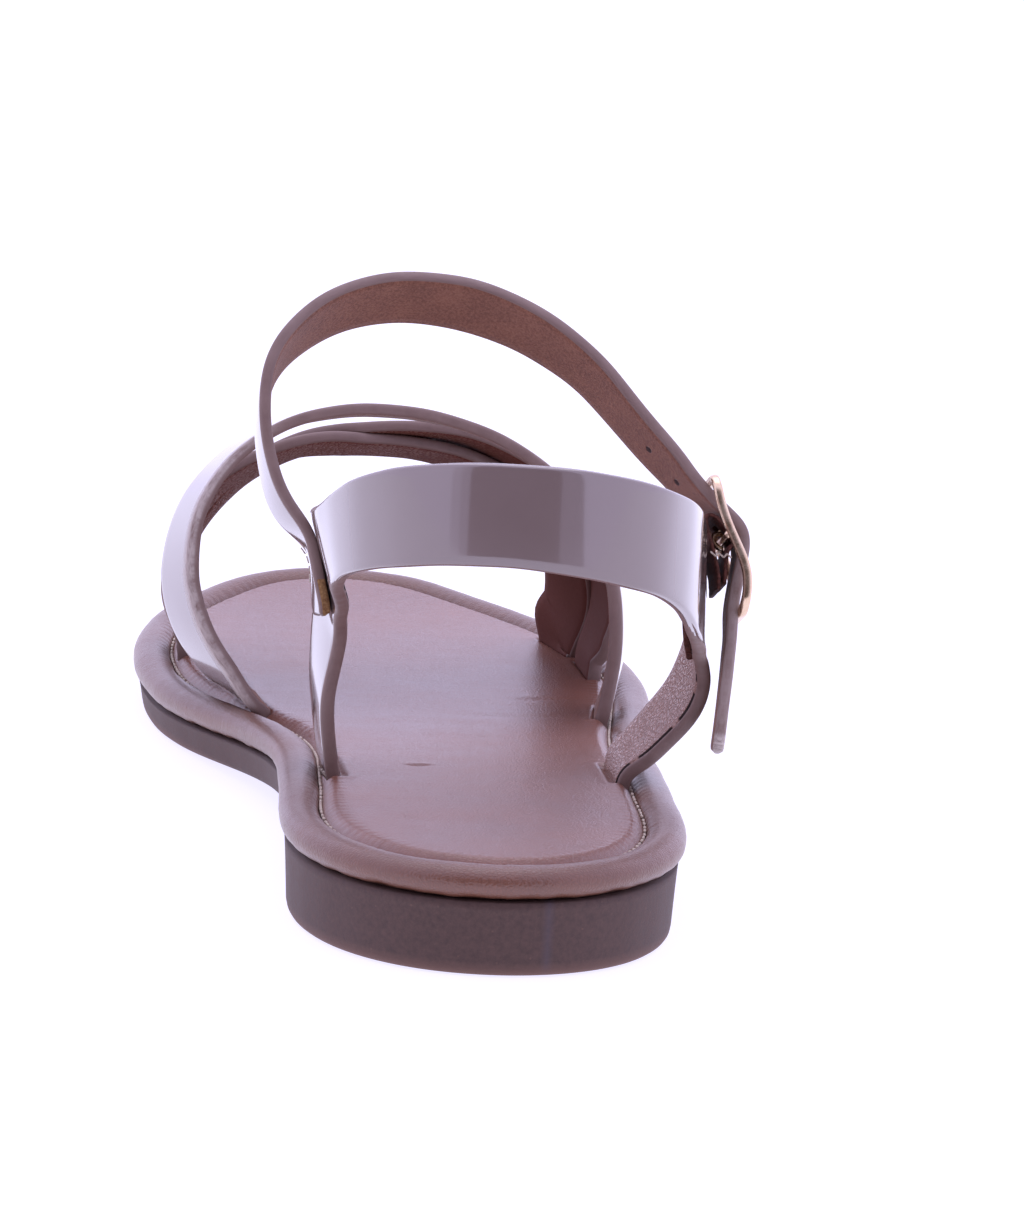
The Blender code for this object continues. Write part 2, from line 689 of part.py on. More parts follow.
def make_buckle_prong():
    """Prong hooked round the centre bar, its tip on the upper end of the frame."""
    hook = CENTRE_BAR_RADIUS + FIT_GAP + PRONG_RADIUS
    path = []
    for angle in np.linspace(250.0, 60.0, 8):
        turn = math.radians(angle)
        path.append((BAR_DOWN - hook * math.sin(turn), hook * math.cos(turn) - BAR_SET_BACK))
    rise = path[-1][1]
    tip = BAR_RADIUS + FIT_GAP + PRONG_RADIUS
    for share in (0.3, 0.55, 0.8, 1.0, 1.06):
        down = path[7][0] + (-BUCKLE_HALF_LENGTH - path[7][0]) * share
        path.append((down, rise + (tip - rise) * share ** 2 + 0.4 * math.sin(math.pi * share)))
    points = [buckle_point(d, o, 0.0) for d, o in path]
    verts, faces = tube(points, PRONG_RADIUS, 6, False, buckle_ways()[2])
    return add_object("buckle_prong", verts, faces, (0.80, 0.62, 0.36), 0.25, 1.0)


def make_buckle_tab():
    """Folded tab: a loop round the centre bar and a doubled end on the lateral leg."""
    inner = CENTRE_BAR_RADIUS + FIT_GAP
    outer = inner + TAB_THICKNESS
    wall = []
    for angle in np.linspace(-60.0, 180.0, 13):
        turn = math.radians(angle)
        wall.append((BAR_DOWN - outer * math.sin(turn), outer * math.cos(turn) - BAR_SET_BACK))
    back = -outer - BAR_SET_BACK
    end = BAR_DOWN + TAB_LENGTH
    wall.extend(((end, back - TAB_LEAN), (end, back - TAB_LEAN + TAB_THICKNESS * 1.3),
                 (BAR_DOWN + 3.0, back + TAB_THICKNESS * 1.5)))
    half = TAB_WIDTH * 0.5
    loops = [[buckle_point(d, o, a) for d, o in wall] for a in (-half, half)]
    tab = add_object("buckle_tab", *loft(loops), (0.22, 0.13, 0.09), 0.7)
    bore = [[buckle_point(BAR_DOWN + inner * math.cos(t), inner * math.sin(t) - BAR_SET_BACK, a)
             for t in np.arange(12) * math.pi / 6.0] for a in (-half - 1.0, half + 1.0)]
    bore = add_object("buckle_tab_bore", *loft(bore), (0.3, 0.3, 0.3), 0.5, cutter=True)
    boolean(tab, bore, "DIFFERENCE")
    notch = PRONG_SLOT * 0.5
    low = BAR_DOWN - 4.0
    high = BAR_DOWN + 2.2
    slit = [[buckle_point(d, o, a) for d, a in ((low, -notch), (high, -notch), (high, notch), (low, notch))]
            for o in (-BAR_SET_BACK - outer - 2.0, 4.0)]
    slit = add_object("buckle_tab_slit", *loft(slit), (0.3, 0.3, 0.3), 0.5, cutter=True)
    boolean(tab, slit, "DIFFERENCE")
    return tab


def level(share):
    """A strap that lies straight on the last."""
    return 0.0


def stand_off(share):
    """Small lift of both crossed straps off the crest of the last."""
    return CROSS_STAND * smoothstep(share, 0.14, 0.34) * (1.0 - smoothstep(share, 0.60, 0.84))


def over_cross(share):
    """Lift of the upper strap where it runs over the lower one."""
    return stand_off(share) + CROSS_RAISE * (1.0 - smoothstep(abs(share - CROSS_MIDDLE), CROSS_REACH * 0.6, CROSS_REACH))


def make_straps():
    """Instep strap and crossed vamp straps; returns their slots."""
    slots = []
    middle, across = strap_middle(INSTEP_ROWS, INSTEP_INSETS, level)
    slots += both_slots(middle, across, STRAP_WIDTH, STRAP_THICKNESS)
    verts, faces = band(middle, across, STRAP_WIDTH, STRAP_THICKNESS)
    add_object("instep_strap", verts, faces, (0.50, 0.38, 0.33), 0.2)
    middle, across = strap_middle(LOWER_CROSS_ROWS, LOWER_CROSS_INSETS, stand_off)
    slots += both_slots(middle, across, STRAP_WIDTH, STRAP_THICKNESS)
    verts, faces = band(middle, across, STRAP_WIDTH, STRAP_THICKNESS)
    crossed = add_object("crossed_vamp_straps", verts, faces, (0.50, 0.38, 0.33), 0.2)
    middle, across = strap_middle(UPPER_CROSS_ROWS, UPPER_CROSS_INSETS, over_cross)
    slots += both_slots(middle, across, STRAP_WIDTH, STRAP_THICKNESS)
    verts, faces = band(middle, across, STRAP_WIDTH, STRAP_THICKNESS)
    upper = add_object("upper_cross_strap", verts, faces, (0.50, 0.38, 0.33), 0.2, cutter=True)
    boolean(crossed, upper, "UNION")
    return slots


def stand_on_origin():
    """Move the whole sandal so its box stands centred on the origin."""
    bpy.context.view_layer.update()
    shown = [item for item in bpy.data.objects if item.type == "MESH" and not item.hide_render]
    corners = [item.matrix_world @ Vector(corner) for item in shown for corner in item.bound_box]
    low = [min(corner[axis] for corner in corners) for axis in range(3)]
    high = [max(corner[axis] for corner in corners) for axis in range(3)]
    ROOT.location = (-(low[0] + high[0]) * 0.5, -(low[1] + high[1]) * 0.5, -low[2])


for old in list(bpy.data.objects):
    bpy.data.objects.remove(old, do_unlink=True)

ROOT = bpy.data.objects.new("strappy_sandal", None)
bpy.context.collection.objects.link(ROOT)

make_outsole()
strap_slots = make_straps()
leg_slots = make_heel_strap()
make_footbed(join(strap_slots + leg_slots))
make_ankle_strap()
make_buckle_frame()
make_buckle_prong()
make_buckle_tab()
stand_on_origin()
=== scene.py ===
import math

import bmesh
import bpy
import numpy as np
from mathutils import Matrix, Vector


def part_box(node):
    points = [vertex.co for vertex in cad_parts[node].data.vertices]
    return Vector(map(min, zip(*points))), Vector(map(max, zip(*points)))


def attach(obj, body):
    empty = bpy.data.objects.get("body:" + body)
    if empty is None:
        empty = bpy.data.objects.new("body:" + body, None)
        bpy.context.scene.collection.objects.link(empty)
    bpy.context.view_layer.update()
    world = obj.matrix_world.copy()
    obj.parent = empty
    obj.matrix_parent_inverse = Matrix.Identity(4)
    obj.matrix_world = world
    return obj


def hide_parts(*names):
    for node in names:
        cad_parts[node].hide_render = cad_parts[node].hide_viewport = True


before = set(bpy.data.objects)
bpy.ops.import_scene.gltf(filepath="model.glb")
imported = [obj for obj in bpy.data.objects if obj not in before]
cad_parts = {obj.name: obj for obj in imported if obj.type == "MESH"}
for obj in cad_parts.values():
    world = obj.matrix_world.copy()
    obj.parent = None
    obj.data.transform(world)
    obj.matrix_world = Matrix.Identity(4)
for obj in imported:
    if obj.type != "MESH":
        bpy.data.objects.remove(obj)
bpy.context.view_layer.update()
mm = 0.001
print("frame loaded:", ", ".join(sorted(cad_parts)))


# small tools for curves and meshes, all in millimetres with the heel back at y 0
def smooth(value, start, stop):
    t = np.clip((np.asarray(value, float) - start) / (stop - start), 0.0, 1.0)
    return t * t * (3.0 - 2.0 * t)


def window(value, start, full, fade, gone):  # rises to 1, holds, and falls back to 0
    return smooth(value, start, full) * (1.0 - smooth(value, fade, gone))


def roundedEnd(distance, reach):  # 0 at an end and 1 past its reach, in a quarter round
    return np.sqrt(np.clip(1.0 - (1.0 - np.clip(distance / reach, 0.0, 1.0)) ** 2, 0.0, 1.0))


def bulged(values, power):  # pushes a round section towards a square one
    return np.sign(values) * np.abs(values) ** power


def unit(vectors):
    vectors = np.asarray(vectors, float)
    return vectors / np.linalg.norm(vectors, axis=-1, keepdims=True)


def faceWays(middle, across):  # width direction squared to the run, and the way out from the face
    along = unit(np.gradient(middle, axis=0))
    across = unit(across - along * np.sum(across * along, axis=1, keepdims=True))
    return across, unit(np.cross(along, across))


def chordKnots(points):
    steps = np.linalg.norm(np.diff(np.asarray(points, float), axis=0), axis=1)
    return np.concatenate([[0.0], np.cumsum(steps)])


def splineThrough(knots, values, places, closed=False):
    knots = np.asarray(knots, float)
    values = np.asarray(values, float).reshape(len(knots), -1)
    count = len(knots)
    step = np.diff(knots)
    matrix = np.zeros((count, count))
    right = np.zeros_like(values)
    for i in range(1, count - 1):
        matrix[i, i - 1:i + 2] = (step[i - 1], 2.0 * (step[i - 1] + step[i]), step[i])
        rise = (values[i + 1] - values[i]) / step[i] - (values[i] - values[i - 1]) / step[i - 1]
        right[i] = 6.0 * rise
    matrix[0, 0] = 1.0
    matrix[-1, -1] = 1.0
    if closed:  # the slope and bend run on across the join
        matrix[0, -1] = -1.0
        matrix[-1] = 0.0
        matrix[-1, 0:2] = (2.0 * step[0], step[0])
        matrix[-1, -2:] += (step[-1], 2.0 * step[-1])
        right[-1] = 6.0 * ((values[1] - values[0]) / step[0] - (values[-1] - values[-2]) / step[-1])
    bend = np.linalg.solve(matrix, right)
    places = np.asarray(places, float)
    span = np.clip(np.searchsorted(knots, places, side="right") - 1, 0, count - 2)
    h = step[span][:, None]
    a = (knots[span + 1] - places)[:, None] / h
    b = (places - knots[span])[:, None] / h
    curve = a * values[span] + b * values[span + 1]
    return curve + ((a ** 3 - a) * bend[span] + (b ** 3 - b) * bend[span + 1]) * h * h / 6.0


def resample(columns, spacing):  # even steps along the first three columns
    along = chordKnots(columns[:, :3])
    places = np.linspace(0.0, along[-1], max(2, int(round(along[-1] / spacing)) + 1))
    return np.stack([np.interp(places, along, columns[:, c]) for c in range(columns.shape[1])], axis=1)


def ripple(place, lengths, seed):  # soft waviness along a line, about -1 to 1
    draw = np.random.RandomState(seed)
    total = np.zeros_like(np.asarray(place, float))
    for length in lengths:
        total = total + np.sin(np.asarray(place) * (2.0 * np.pi / length) + draw.uniform(0.0, 6.28))
    return total / len(lengths)


def gridFaces(rows, cols, roundRows=False):  # each row closes on itself
    rr, cc = np.meshgrid(np.arange(rows if roundRows else rows - 1), np.arange(cols), indexing="ij")
    nr, nc = (rr + 1) % rows, (cc + 1) % cols
    quads = np.stack([rr * cols + cc, rr * cols + nc, nr * cols + nc, nr * cols + cc], axis=-1)
    return quads.reshape(-1, 4).tolist()


def sweptFaces(rows, cols):  # rings joined along a sweep and capped at both ends
    return gridFaces(rows, cols) + [list(range(cols))[::-1], list(range((rows - 1) * cols, rows * cols))]


def newMesh(name, verts, faces):  # in metres, with the faces turned outwards
    mesh = bpy.data.meshes.new(name)
    mesh.from_pydata(((np.asarray(verts, float) + shift) * mm).tolist(), [], faces)
    body = bmesh.new()
    body.from_mesh(mesh)
    bmesh.ops.recalc_face_normals(body, faces=body.faces)
    body.to_mesh(mesh)
    body.free()
    return mesh


def addObject(name, data):
    thing = bpy.data.objects.new(name, data)
    bpy.context.scene.collection.objects.link(thing)
    return thing


def makePiece(name, verts, faces, materials, slot, standsFor=(), picks=None, marks=None):
    mesh = newMesh(name, verts, faces)
    for material in materials:
        mesh.materials.append(material)
    if picks is not None:
        mesh.polygons.foreach_set("material_index", np.asarray(picks, np.int32))
    for label, values in (marks or {}).items():
        values = np.asarray(values, np.float32)
        kind, field = ("FLOAT_VECTOR", "vector") if values.ndim == 2 else ("FLOAT", "value")
        mesh.attributes.new(label, kind, "POINT").data.foreach_set(field, values.ravel())
    mesh.shade_smooth()
    piece = addObject(name, mesh)
    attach(piece, "root")
    if standsFor:
        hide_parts(*standsFor)
    return piece


def cutAway(piece, verts, faces):  # punch one closed body out of a piece
    punch = addObject("punch", newMesh("punch", verts, faces))
    cut = piece.modifiers.new("punch", "BOOLEAN")
    cut.operation = "DIFFERENCE"
    cut.solver = "EXACT"
    cut.object = punch
    bpy.context.view_layer.update()
    done = bpy.data.meshes.new_from_object(piece.evaluated_get(bpy.context.evaluated_depsgraph_get()))
    piece.modifiers.remove(cut)
    piece.data = done
    bpy.data.objects.remove(punch)


def tubeMesh(points, radius, sides, sideWay, closed=False, square=2.0):
    points = np.asarray(points, float)
    radius = np.broadcast_to(np.asarray(radius, float), (len(points),))
    if closed:
        along = unit(np.roll(points, -1, axis=0) - np.roll(points, 1, axis=0))
    else:
        along = unit(np.gradient(points, axis=0))
    first = unit(sideWay - along * np.sum(along * sideWay, axis=1, keepdims=True))
    second = np.cross(along, first)
    turn = np.arange(sides) * 2.0 * np.pi / sides
    c, s = bulged(np.cos(turn), 2.0 / square), bulged(np.sin(turn), 2.0 / square)
    verts = points[:, None] + radius[:, None, None] * (
        first[:, None] * c[None, :, None] + second[:, None] * s[None, :, None])
    faces = gridFaces(len(points), sides, True) if closed else sweptFaces(len(points), sides)
    return verts.reshape(-1, 3), faces


def joinMeshes(parts):
    verts, faces, start = [], [], 0
    for v, f in parts:
        verts.append(np.asarray(v, float))
        faces.extend([[i + start for i in face] for face in f])
        start += len(v)
    return np.vstack(verts), faces


# shader helpers
def addNode(tree, kind, inputs=None, **settings):
    node = tree.nodes.new(kind)
    for key, value in settings.items():
        setattr(node, key, value)
    for key, value in (inputs or {}).items():
        if isinstance(value, bpy.types.NodeSocket):
            tree.links.new(value, node.inputs[key])
        else:
            node.inputs[key].default_value = value
    return node


def maths(tree, operation, first, second=0.5, clamp=False):
    node = addNode(tree, "ShaderNodeMath", {0: first, 1: second}, operation=operation, use_clamp=clamp)
    return node.outputs[0]


def times(tree, first, second, clamp=False):
    return maths(tree, "MULTIPLY", first, second, clamp)


def plus(tree, first, second, clamp=False):
    return maths(tree, "ADD", first, second, clamp)


def weighted(tree, first, firstShare, second, secondShare):
    return plus(tree, times(tree, first, firstShare), times(tree, second, secondShare))


def blendColor(tree, share, first, second):
    return addNode(tree, "ShaderNodeMix", {0: share, 6: first, 7: second}, data_type="RGBA").outputs[2]


def remap(tree, value, low, high, toLow=0.0, toHigh=1.0):
    node = addNode(tree, "ShaderNodeMapRange", {"Value": value, "From Min": low, "From Max": high,
                                                "To Min": toLow, "To Max": toHigh})
    return node.outputs["Result"]


def noiseValue(tree, vector, scale, detail=3.0, roughness=0.55):
    node = addNode(tree, "ShaderNodeTexNoise", {"Vector": vector, "Scale": scale, "Detail": detail,
                                                "Roughness": roughness})
    return node.outputs["Fac"]


def objectPlace(tree):
    return addNode(tree, "ShaderNodeTexCoord").outputs["Object"]


def splitXYZ(tree, vector):
    return addNode(tree, "ShaderNodeSeparateXYZ", {0: vector}).outputs


def joinXYZ(tree, x, y, z=0.0):
    return addNode(tree, "ShaderNodeCombineXYZ", {"X": x, "Y": y, "Z": z}).outputs[0]


def meshMark(tree, name):
    return addNode(tree, "ShaderNodeAttribute", attribute_name=name, attribute_type="GEOMETRY").outputs


def layParts(tree):  # along, distance from the rear edge, distance from the front edge
    return splitXYZ(tree, meshMark(tree, "lay")["Vector"])


def wearAndLightMark(tree):
    return meshMark(tree, "wear")["Fac"]


def newGroup(name, inputs, outputs):
    group = bpy.data.node_groups.new(name, "ShaderNodeTree")
    for label, value in inputs:
        group.interface.new_socket(label, in_out="INPUT", socket_type="NodeSocketFloat").default_value = value
    for label in outputs:
        group.interface.new_socket(label, in_out="OUTPUT", socket_type="NodeSocketFloat")
    return group, addNode(group, "NodeGroupInput").outputs, addNode(group, "NodeGroupOutput").inputs


def useGroup(tree, group, **values):
    return addNode(tree, "ShaderNodeGroup", values, node_tree=group).outputs


def leatherGrainGroup():  # small pebbles with creases between them, and a slow change of tone
    group, given, made = newGroup("leatherGrain", (("Cells", 900.0), ("Stretch", 1.0)), ("Height", "Tone"))
    place = objectPlace(group)
    warp = noiseValue(group, place, 420.0, 2.0)
    parts = splitXYZ(group, place)
    bent = joinXYZ(group, parts["X"], times(group, parts["Y"], given["Stretch"]), parts["Z"])
    nudge = addNode(group, "ShaderNodeVectorMath", {0: bent, 1: times(group, warp, 0.0009)},
                    operation="ADD").outputs[0]
    cells = addNode(group, "ShaderNodeTexVoronoi", {"Vector": nudge, "Scale": given["Cells"]},
                    feature="DISTANCE_TO_EDGE").outputs["Distance"]
    fine = noiseValue(group, nudge, 3800.0, 2.0)
    group.links.new(weighted(group, remap(group, cells, 0.0, 0.28), 0.75, fine, 0.25), made["Height"])
    group.links.new(noiseValue(group, place, 55.0, 4.0), made["Tone"])
    return group


def handWearGroup():  # scuffs and rubbed dirt in loose patches
    group, given, made = newGroup("handWear", (("Patch", 60.0), ("Amount", 0.5)), ("Mask", "Specks"))
    place = objectPlace(group)
    patch = noiseValue(group, place, given["Patch"], 5.0, 0.65)
    low = maths(group, "SUBTRACT", 0.78, times(group, given["Amount"], 0.3))
    group.links.new(times(group, maths(group, "SUBTRACT", patch, low), 5.0, True), made["Mask"])
    dots = addNode(group, "ShaderNodeTexVoronoi", {"Vector": place, "Scale": 420.0}).outputs["Distance"]
    group.links.new(remap(group, dots, 0.10, 0.04), made["Specks"])
    return group


leatherGrain = leatherGrainGroup()
handWear = handWearGroup()


def newMaterial(name, **sockets):
    material = bpy.data.materials.new(name)
    material.use_nodes = True
    shader = material.node_tree.nodes["Principled BSDF"]
    for key, value in sockets.items():
        shader.inputs[key.replace("_", " ")].default_value = value
    return material, material.node_tree, shader


def setLooks(tree, shader, color, rough, height, strength, distance, coated=False):
    tree.links.new(color, shader.inputs["Base Color"])
    tree.links.new(rough, shader.inputs["Roughness"])
    bump = addNode(tree, "ShaderNodeBump", {"Height": height, "Strength": strength, "Distance": distance})
    tree.links.new(bump.outputs[0], shader.inputs["Normal"])
    if coated:  # the clear coat follows the grain too
        tree.links.new(bump.outputs[0], shader.inputs["Coat Normal"])


def makePatent():  # nude patent face, scuffed to beige fibres where the wear mark says; along the ankle strap's tail the same mark is painted light
    tones = {"nude": (0.195, 0.140, 0.132, 1.0), "deep": (0.175, 0.124, 0.116, 1.0),
             "beige": (0.50, 0.42, 0.38, 1.0)}
    material, tree, shader = newMaterial("patentNude", IOR=1.6, Coat_Weight=1.0, Coat_Roughness=0.065,
                                         Coat_IOR=1.7)
    grain = useGroup(tree, leatherGrain, Cells=500.0)
    lay = layParts(tree)
    fibres = noiseValue(tree, joinXYZ(tree, times(tree, lay["X"], 0.25), lay["Y"]), 2.6, 4.0, 0.7)
    scuffAndLight = times(tree, wearAndLightMark(tree), remap(tree, fibres, 0.34, 0.52), True)
    base = blendColor(tree, remap(tree, grain["Tone"], 0.3, 0.7), tones["deep"], tones["nude"])
    tree.links.new(maths(tree, "SUBTRACT", 1.0, scuffAndLight, True), shader.inputs["Coat Weight"])
    peel = noiseValue(tree, objectPlace(tree), 260.0, 2.0)
    setLooks(tree, shader, blendColor(tree, scuffAndLight, base, tones["beige"]),
             plus(tree, times(tree, scuffAndLight, 0.5), 0.14), weighted(tree, peel, 0.12, fibres, scuffAndLight),
             0.35, 0.00018)
    return material


def makeEdgePaint():  # matte taupe along the cut edges
    tones = {"taupe": (0.20, 0.128, 0.112, 1.0), "pale": (0.27, 0.185, 0.165, 1.0),
             "grime": (0.15, 0.09, 0.088, 1.0), "beige": (0.62, 0.54, 0.50, 1.0)}
    material, tree, shader = newMaterial("edgePaint", IOR=1.45)
    lay = layParts(tree)
    run = joinXYZ(tree, times(tree, lay["X"], 0.12), lay["Y"], lay["Z"])
    fibres = noiseValue(tree, run, 1.6, 5.0, 0.65)
    strands = noiseValue(tree, run, 3.4, 4.0, 0.7)
    wear = useGroup(tree, handWear, Patch=120.0, Amount=0.45)
    base = blendColor(tree, remap(tree, fibres, 0.3, 0.75), tones["taupe"], tones["pale"])
    base = blendColor(tree, times(tree, wear["Mask"], 0.4), base, tones["grime"])
    # scuffed to beige where the wear mark says, and along the ankle strap's tail as painted light
    scuffAndLight = times(tree, wearAndLightMark(tree), remap(tree, strands, 0.30, 0.58), True)
    rough = remap(tree, noiseValue(tree, objectPlace(tree), 300.0), 0.3, 0.7, 0.40, 0.56)
    setLooks(tree, shader, blendColor(tree, scuffAndLight, base, tones["beige"]), rough,
             plus(tree, fibres, times(tree, strands, scuffAndLight)), 0.3, 0.0002)
    return material


def makeSuedeLining():  # brown lining with a short nap
    tones = {"brown": (0.30, 0.130, 0.080, 1.0), "dark": (0.170, 0.066, 0.040, 1.0)}
    material, tree, shader = newMaterial("suedeLining", IOR=1.4, Sheen_Weight=0.25, Sheen_Roughness=0.5)
    place = objectPlace(tree)
    nap = noiseValue(tree, place, 2600.0, 4.0, 0.7)
    patches = noiseValue(tree, place, 240.0, 4.0, 0.6)
    wear = useGroup(tree, handWear, Patch=90.0, Amount=0.35)
    tone = weighted(tree, nap, 0.75, patches, 0.25)
    base = blendColor(tree, remap(tree, tone, 0.40, 0.60), tones["dark"], tones["brown"])
    setLooks(tree, shader, blendColor(tree, times(tree, wear["Specks"], 0.25), base, tones["dark"]),
             remap(tree, patches, 0.3, 0.7, 0.78, 0.92), nap, 0.5, 0.00022)
    return material


def makePebbleLining():  # shiny pebbled lining, with a broken dark line of glue by its rear edge
    tones = {"tan": (0.33, 0.172, 0.128, 1.0), "low": (0.21, 0.098, 0.070, 1.0),
             "glue": (0.016, 0.006, 0.005, 1.0)}
    glueStart, glueEnd = (0.3, 0.5), (1.55, 1.3)  # mm from the edge
    material, tree, shader = newMaterial("pebbleLining", IOR=1.45, Coat_Roughness=0.3)
    grain = useGroup(tree, leatherGrain, Cells=1450.0, Stretch=0.8)["Height"]
    lay = layParts(tree)
    inside = times(tree, remap(tree, lay["Y"], *glueStart), remap(tree, lay["Y"], *glueEnd))
    breaks = remap(tree, noiseValue(tree, times(tree, lay["X"], 0.13), 1.0, 2.0), 0.45, 0.50)
    glue = times(tree, inside, breaks, True)
    base = blendColor(tree, remap(tree, grain, 0.15, 0.65), tones["low"], tones["tan"])
    tree.links.new(remap(tree, glue, 0.0, 1.0, 0.35, 0.0), shader.inputs["Coat Weight"])
    setLooks(tree, shader, blendColor(tree, glue, base, tones["glue"]),
             plus(tree, remap(tree, grain, 0.2, 0.8, 0.50, 0.24), glue, True),
             maths(tree, "SUBTRACT", grain, times(tree, glue, 0.6)), 0.5, 0.00028, True)
    return material


def makeCrossedLining():  # red-brown lining: pink pebbles over the crest as painted light, and smooth dark red down the lateral legs as painted shade
    tones = {"pink": (0.25, 0.105, 0.076, 1.0), "red": (0.130, 0.040, 0.027, 1.0)}
    pebblesEnd = (96.0, 72.0)  # mm along the strap, where the pebbles and their pink tone fade into the painted shade of the legs
    material, tree, shader = newMaterial("crossedLining", IOR=1.33)
    grain = useGroup(tree, leatherGrain, Cells=1250.0, Stretch=0.7)
    height = times(tree, grain["Height"], remap(tree, layParts(tree)["X"], *pebblesEnd))
    nap = noiseValue(tree, objectPlace(tree), 1500.0, 4.0, 0.65)
    # the pink tone rides on the pebbles and fades with them, so the lateral legs are left dark red as painted
    # shade
    tone = plus(tree, height, times(tree, nap, 0.2))
    setLooks(tree, shader, blendColor(tree, remap(tree, tone, 0.08, 0.75), tones["red"], tones["pink"]),
             remap(tree, height, 0.0, 0.7, 0.74, 0.42), tone, 0.6, 0.00024)
    return material


def makeFootbedLeather(name, tones, gloss, spread):  # blush tan, semi-gloss, finely creased across the foot
    material, tree, shader = newMaterial(name, IOR=1.5, Coat_Weight=gloss, Coat_Roughness=spread,
                                         Coat_IOR=1.5)
    grain = useGroup(tree, leatherGrain, Cells=1500.0, Stretch=1.4)
    wear = useGroup(tree, handWear, Patch=45.0, Amount=0.4)
    parts = splitXYZ(tree, objectPlace(tree))
    stretched = joinXYZ(tree, times(tree, parts["X"], 0.7), parts["Y"], parts["Z"])
    creases = noiseValue(tree, stretched, 640.0, 3.0, 0.6)
    color = blendColor(tree, remap(tree, grain["Tone"], 0.3, 0.7), tones["deep"], tones["tan"])
    for share in (times(tree, wear["Mask"], 0.22), remap(tree, grain["Height"], 0.45, 0.10, 0.0, 0.4),
                  times(tree, wear["Specks"], 0.3)):
        color = blendColor(tree, share, color, tones["rub"])
    setLooks(tree, shader, color, remap(tree, grain["Tone"], 0.25, 0.75, 0.33, 0.43),
             weighted(tree, grain["Height"], 0.45, creases, 0.55), 0.42, 0.00025, True)
    return material


def makeSoleRubber():  # taupe moulded rubber, faintly mottled, with a mould line at the heel
    tones = {"taupe": (0.105, 0.058, 0.048, 1.0), "dark": (0.056, 0.028, 0.023, 1.0),
             "pale": (0.19, 0.098, 0.074, 1.0), "line": (0.075, 0.062, 0.085, 1.0)}
    mouldLine = {"x": 0.0086, "half": 0.0011, "ends": (-0.110, -0.116)}
    material, tree, shader = newMaterial("soleRubber", IOR=1.45)
    place = objectPlace(tree)
    parts = splitXYZ(tree, place)
    wear = useGroup(tree, handWear, Patch=75.0, Amount=0.5)
    mottle = noiseValue(tree, place, 1000.0, 6.0, 0.75)
    color = blendColor(tree, remap(tree, mottle, 0.3, 0.7), tones["dark"], tones["taupe"])
    color = blendColor(tree, times(tree, wear["Specks"], 0.35), color, tones["pale"])
    fromLine = maths(tree, "ABSOLUTE", maths(tree, "SUBTRACT", parts["X"], mouldLine["x"]))
    line = remap(tree, fromLine, mouldLine["half"], 0.0)
    line = times(tree, line, remap(tree, parts["Y"], *mouldLine["ends"]))
    color = blendColor(tree, times(tree, line, 0.4), color, tones["line"])
    # painted paler within about 2 mm of the sole's bottom edge
    rub = remap(tree, parts["Z"], 0.0022, 0.0003)
    setLooks(tree, shader, blendColor(tree, times(tree, rub, 0.7), color, tones["pale"]),
             remap(tree, mottle, 0.3, 0.7, 0.52, 0.68), mottle, 0.35, 0.00025)
    return material


def makeFibre(name, ior, noise, tones, rough, bump):  # two tones of loose fibre
    material, tree, shader = newMaterial(name, IOR=ior)
    fibres = noiseValue(tree, objectPlace(tree), *noise)
    setLooks(tree, shader, blendColor(tree, remap(tree, fibres, 0.3, 0.7), *tones),
             remap(tree, fibres, 0.3, 0.7, *rough), fibres, *bump)
    return material


def makePaleGold():  # plated pale gold with small pits
    tones = {"deep": (0.74, 0.53, 0.36, 1.0), "pale": (0.86, 0.68, 0.50, 1.0), "pit": (0.25, 0.15, 0.09, 1.0)}
    material, tree, shader = newMaterial("paleGold", Metallic=1.0)
    wear = useGroup(tree, handWear, Patch=420.0, Amount=0.5)
    cloud = noiseValue(tree, objectPlace(tree), 500.0, 3.0)
    base = blendColor(tree, remap(tree, cloud, 0.3, 0.7), tones["deep"], tones["pale"])
    setLooks(tree, shader, blendColor(tree, times(tree, wear["Specks"], 0.6), base, tones["pit"]),
             remap(tree, cloud, 0.3, 0.7, 0.18, 0.32), cloud, 0.12, 0.0001)
    return material


def makeTabLeather():  # dark brown, dry and fibrous
    tones = {"dark": (0.028, 0.008, 0.006, 1.0), "brown": (0.14, 0.048, 0.034, 1.0)}
    material, tree, shader = newMaterial("tabLeather", IOR=1.33)
    grain = useGroup(tree, leatherGrain, Cells=1100.0)
    fray = noiseValue(tree, objectPlace(tree), 1700.0, 5.0, 0.7)
    tone = times(tree, fray, remap(tree, grain["Height"], 0.0, 0.7, 0.6, 1.1))
    setLooks(tree, shader, blendColor(tree, remap(tree, tone, 0.2, 0.6), tones["dark"], tones["brown"]),
             remap(tree, fray, 0.3, 0.7, 0.55, 0.8), tone, 0.7, 0.0003)
    return material


patentNude = makePatent()
edgePaint = makeEdgePaint()
suedeLining = makeSuedeLining()
pebbleLining = makePebbleLining()
crossedLining = makeCrossedLining()
footbedLeather = makeFootbedLeather("footbedLeather", {
    "tan": (0.250, 0.103, 0.068, 1.0), "deep": (0.196, 0.078, 0.051, 1.0),
    "rub": (0.13, 0.050, 0.034, 1.0)}, 0.60, 0.25)
rollLeather = makeFootbedLeather("rollLeather", {
    "tan": (0.178, 0.066, 0.036, 1.0), "deep": (0.138, 0.050, 0.027, 1.0),
    "rub": (0.095, 0.034, 0.020, 1.0)}, 0.72, 0.31)
soleRubber = makeSoleRubber()
creamThread = makeFibre("creamThread", 1.45, (2400.0, 2.0),
                        ((0.50, 0.40, 0.31, 1.0), (0.72, 0.63, 0.53, 1.0)), (0.5, 0.7), (0.5, 0.0001))
paleGold = makePaleGold()
tabLeather = makeTabLeather()
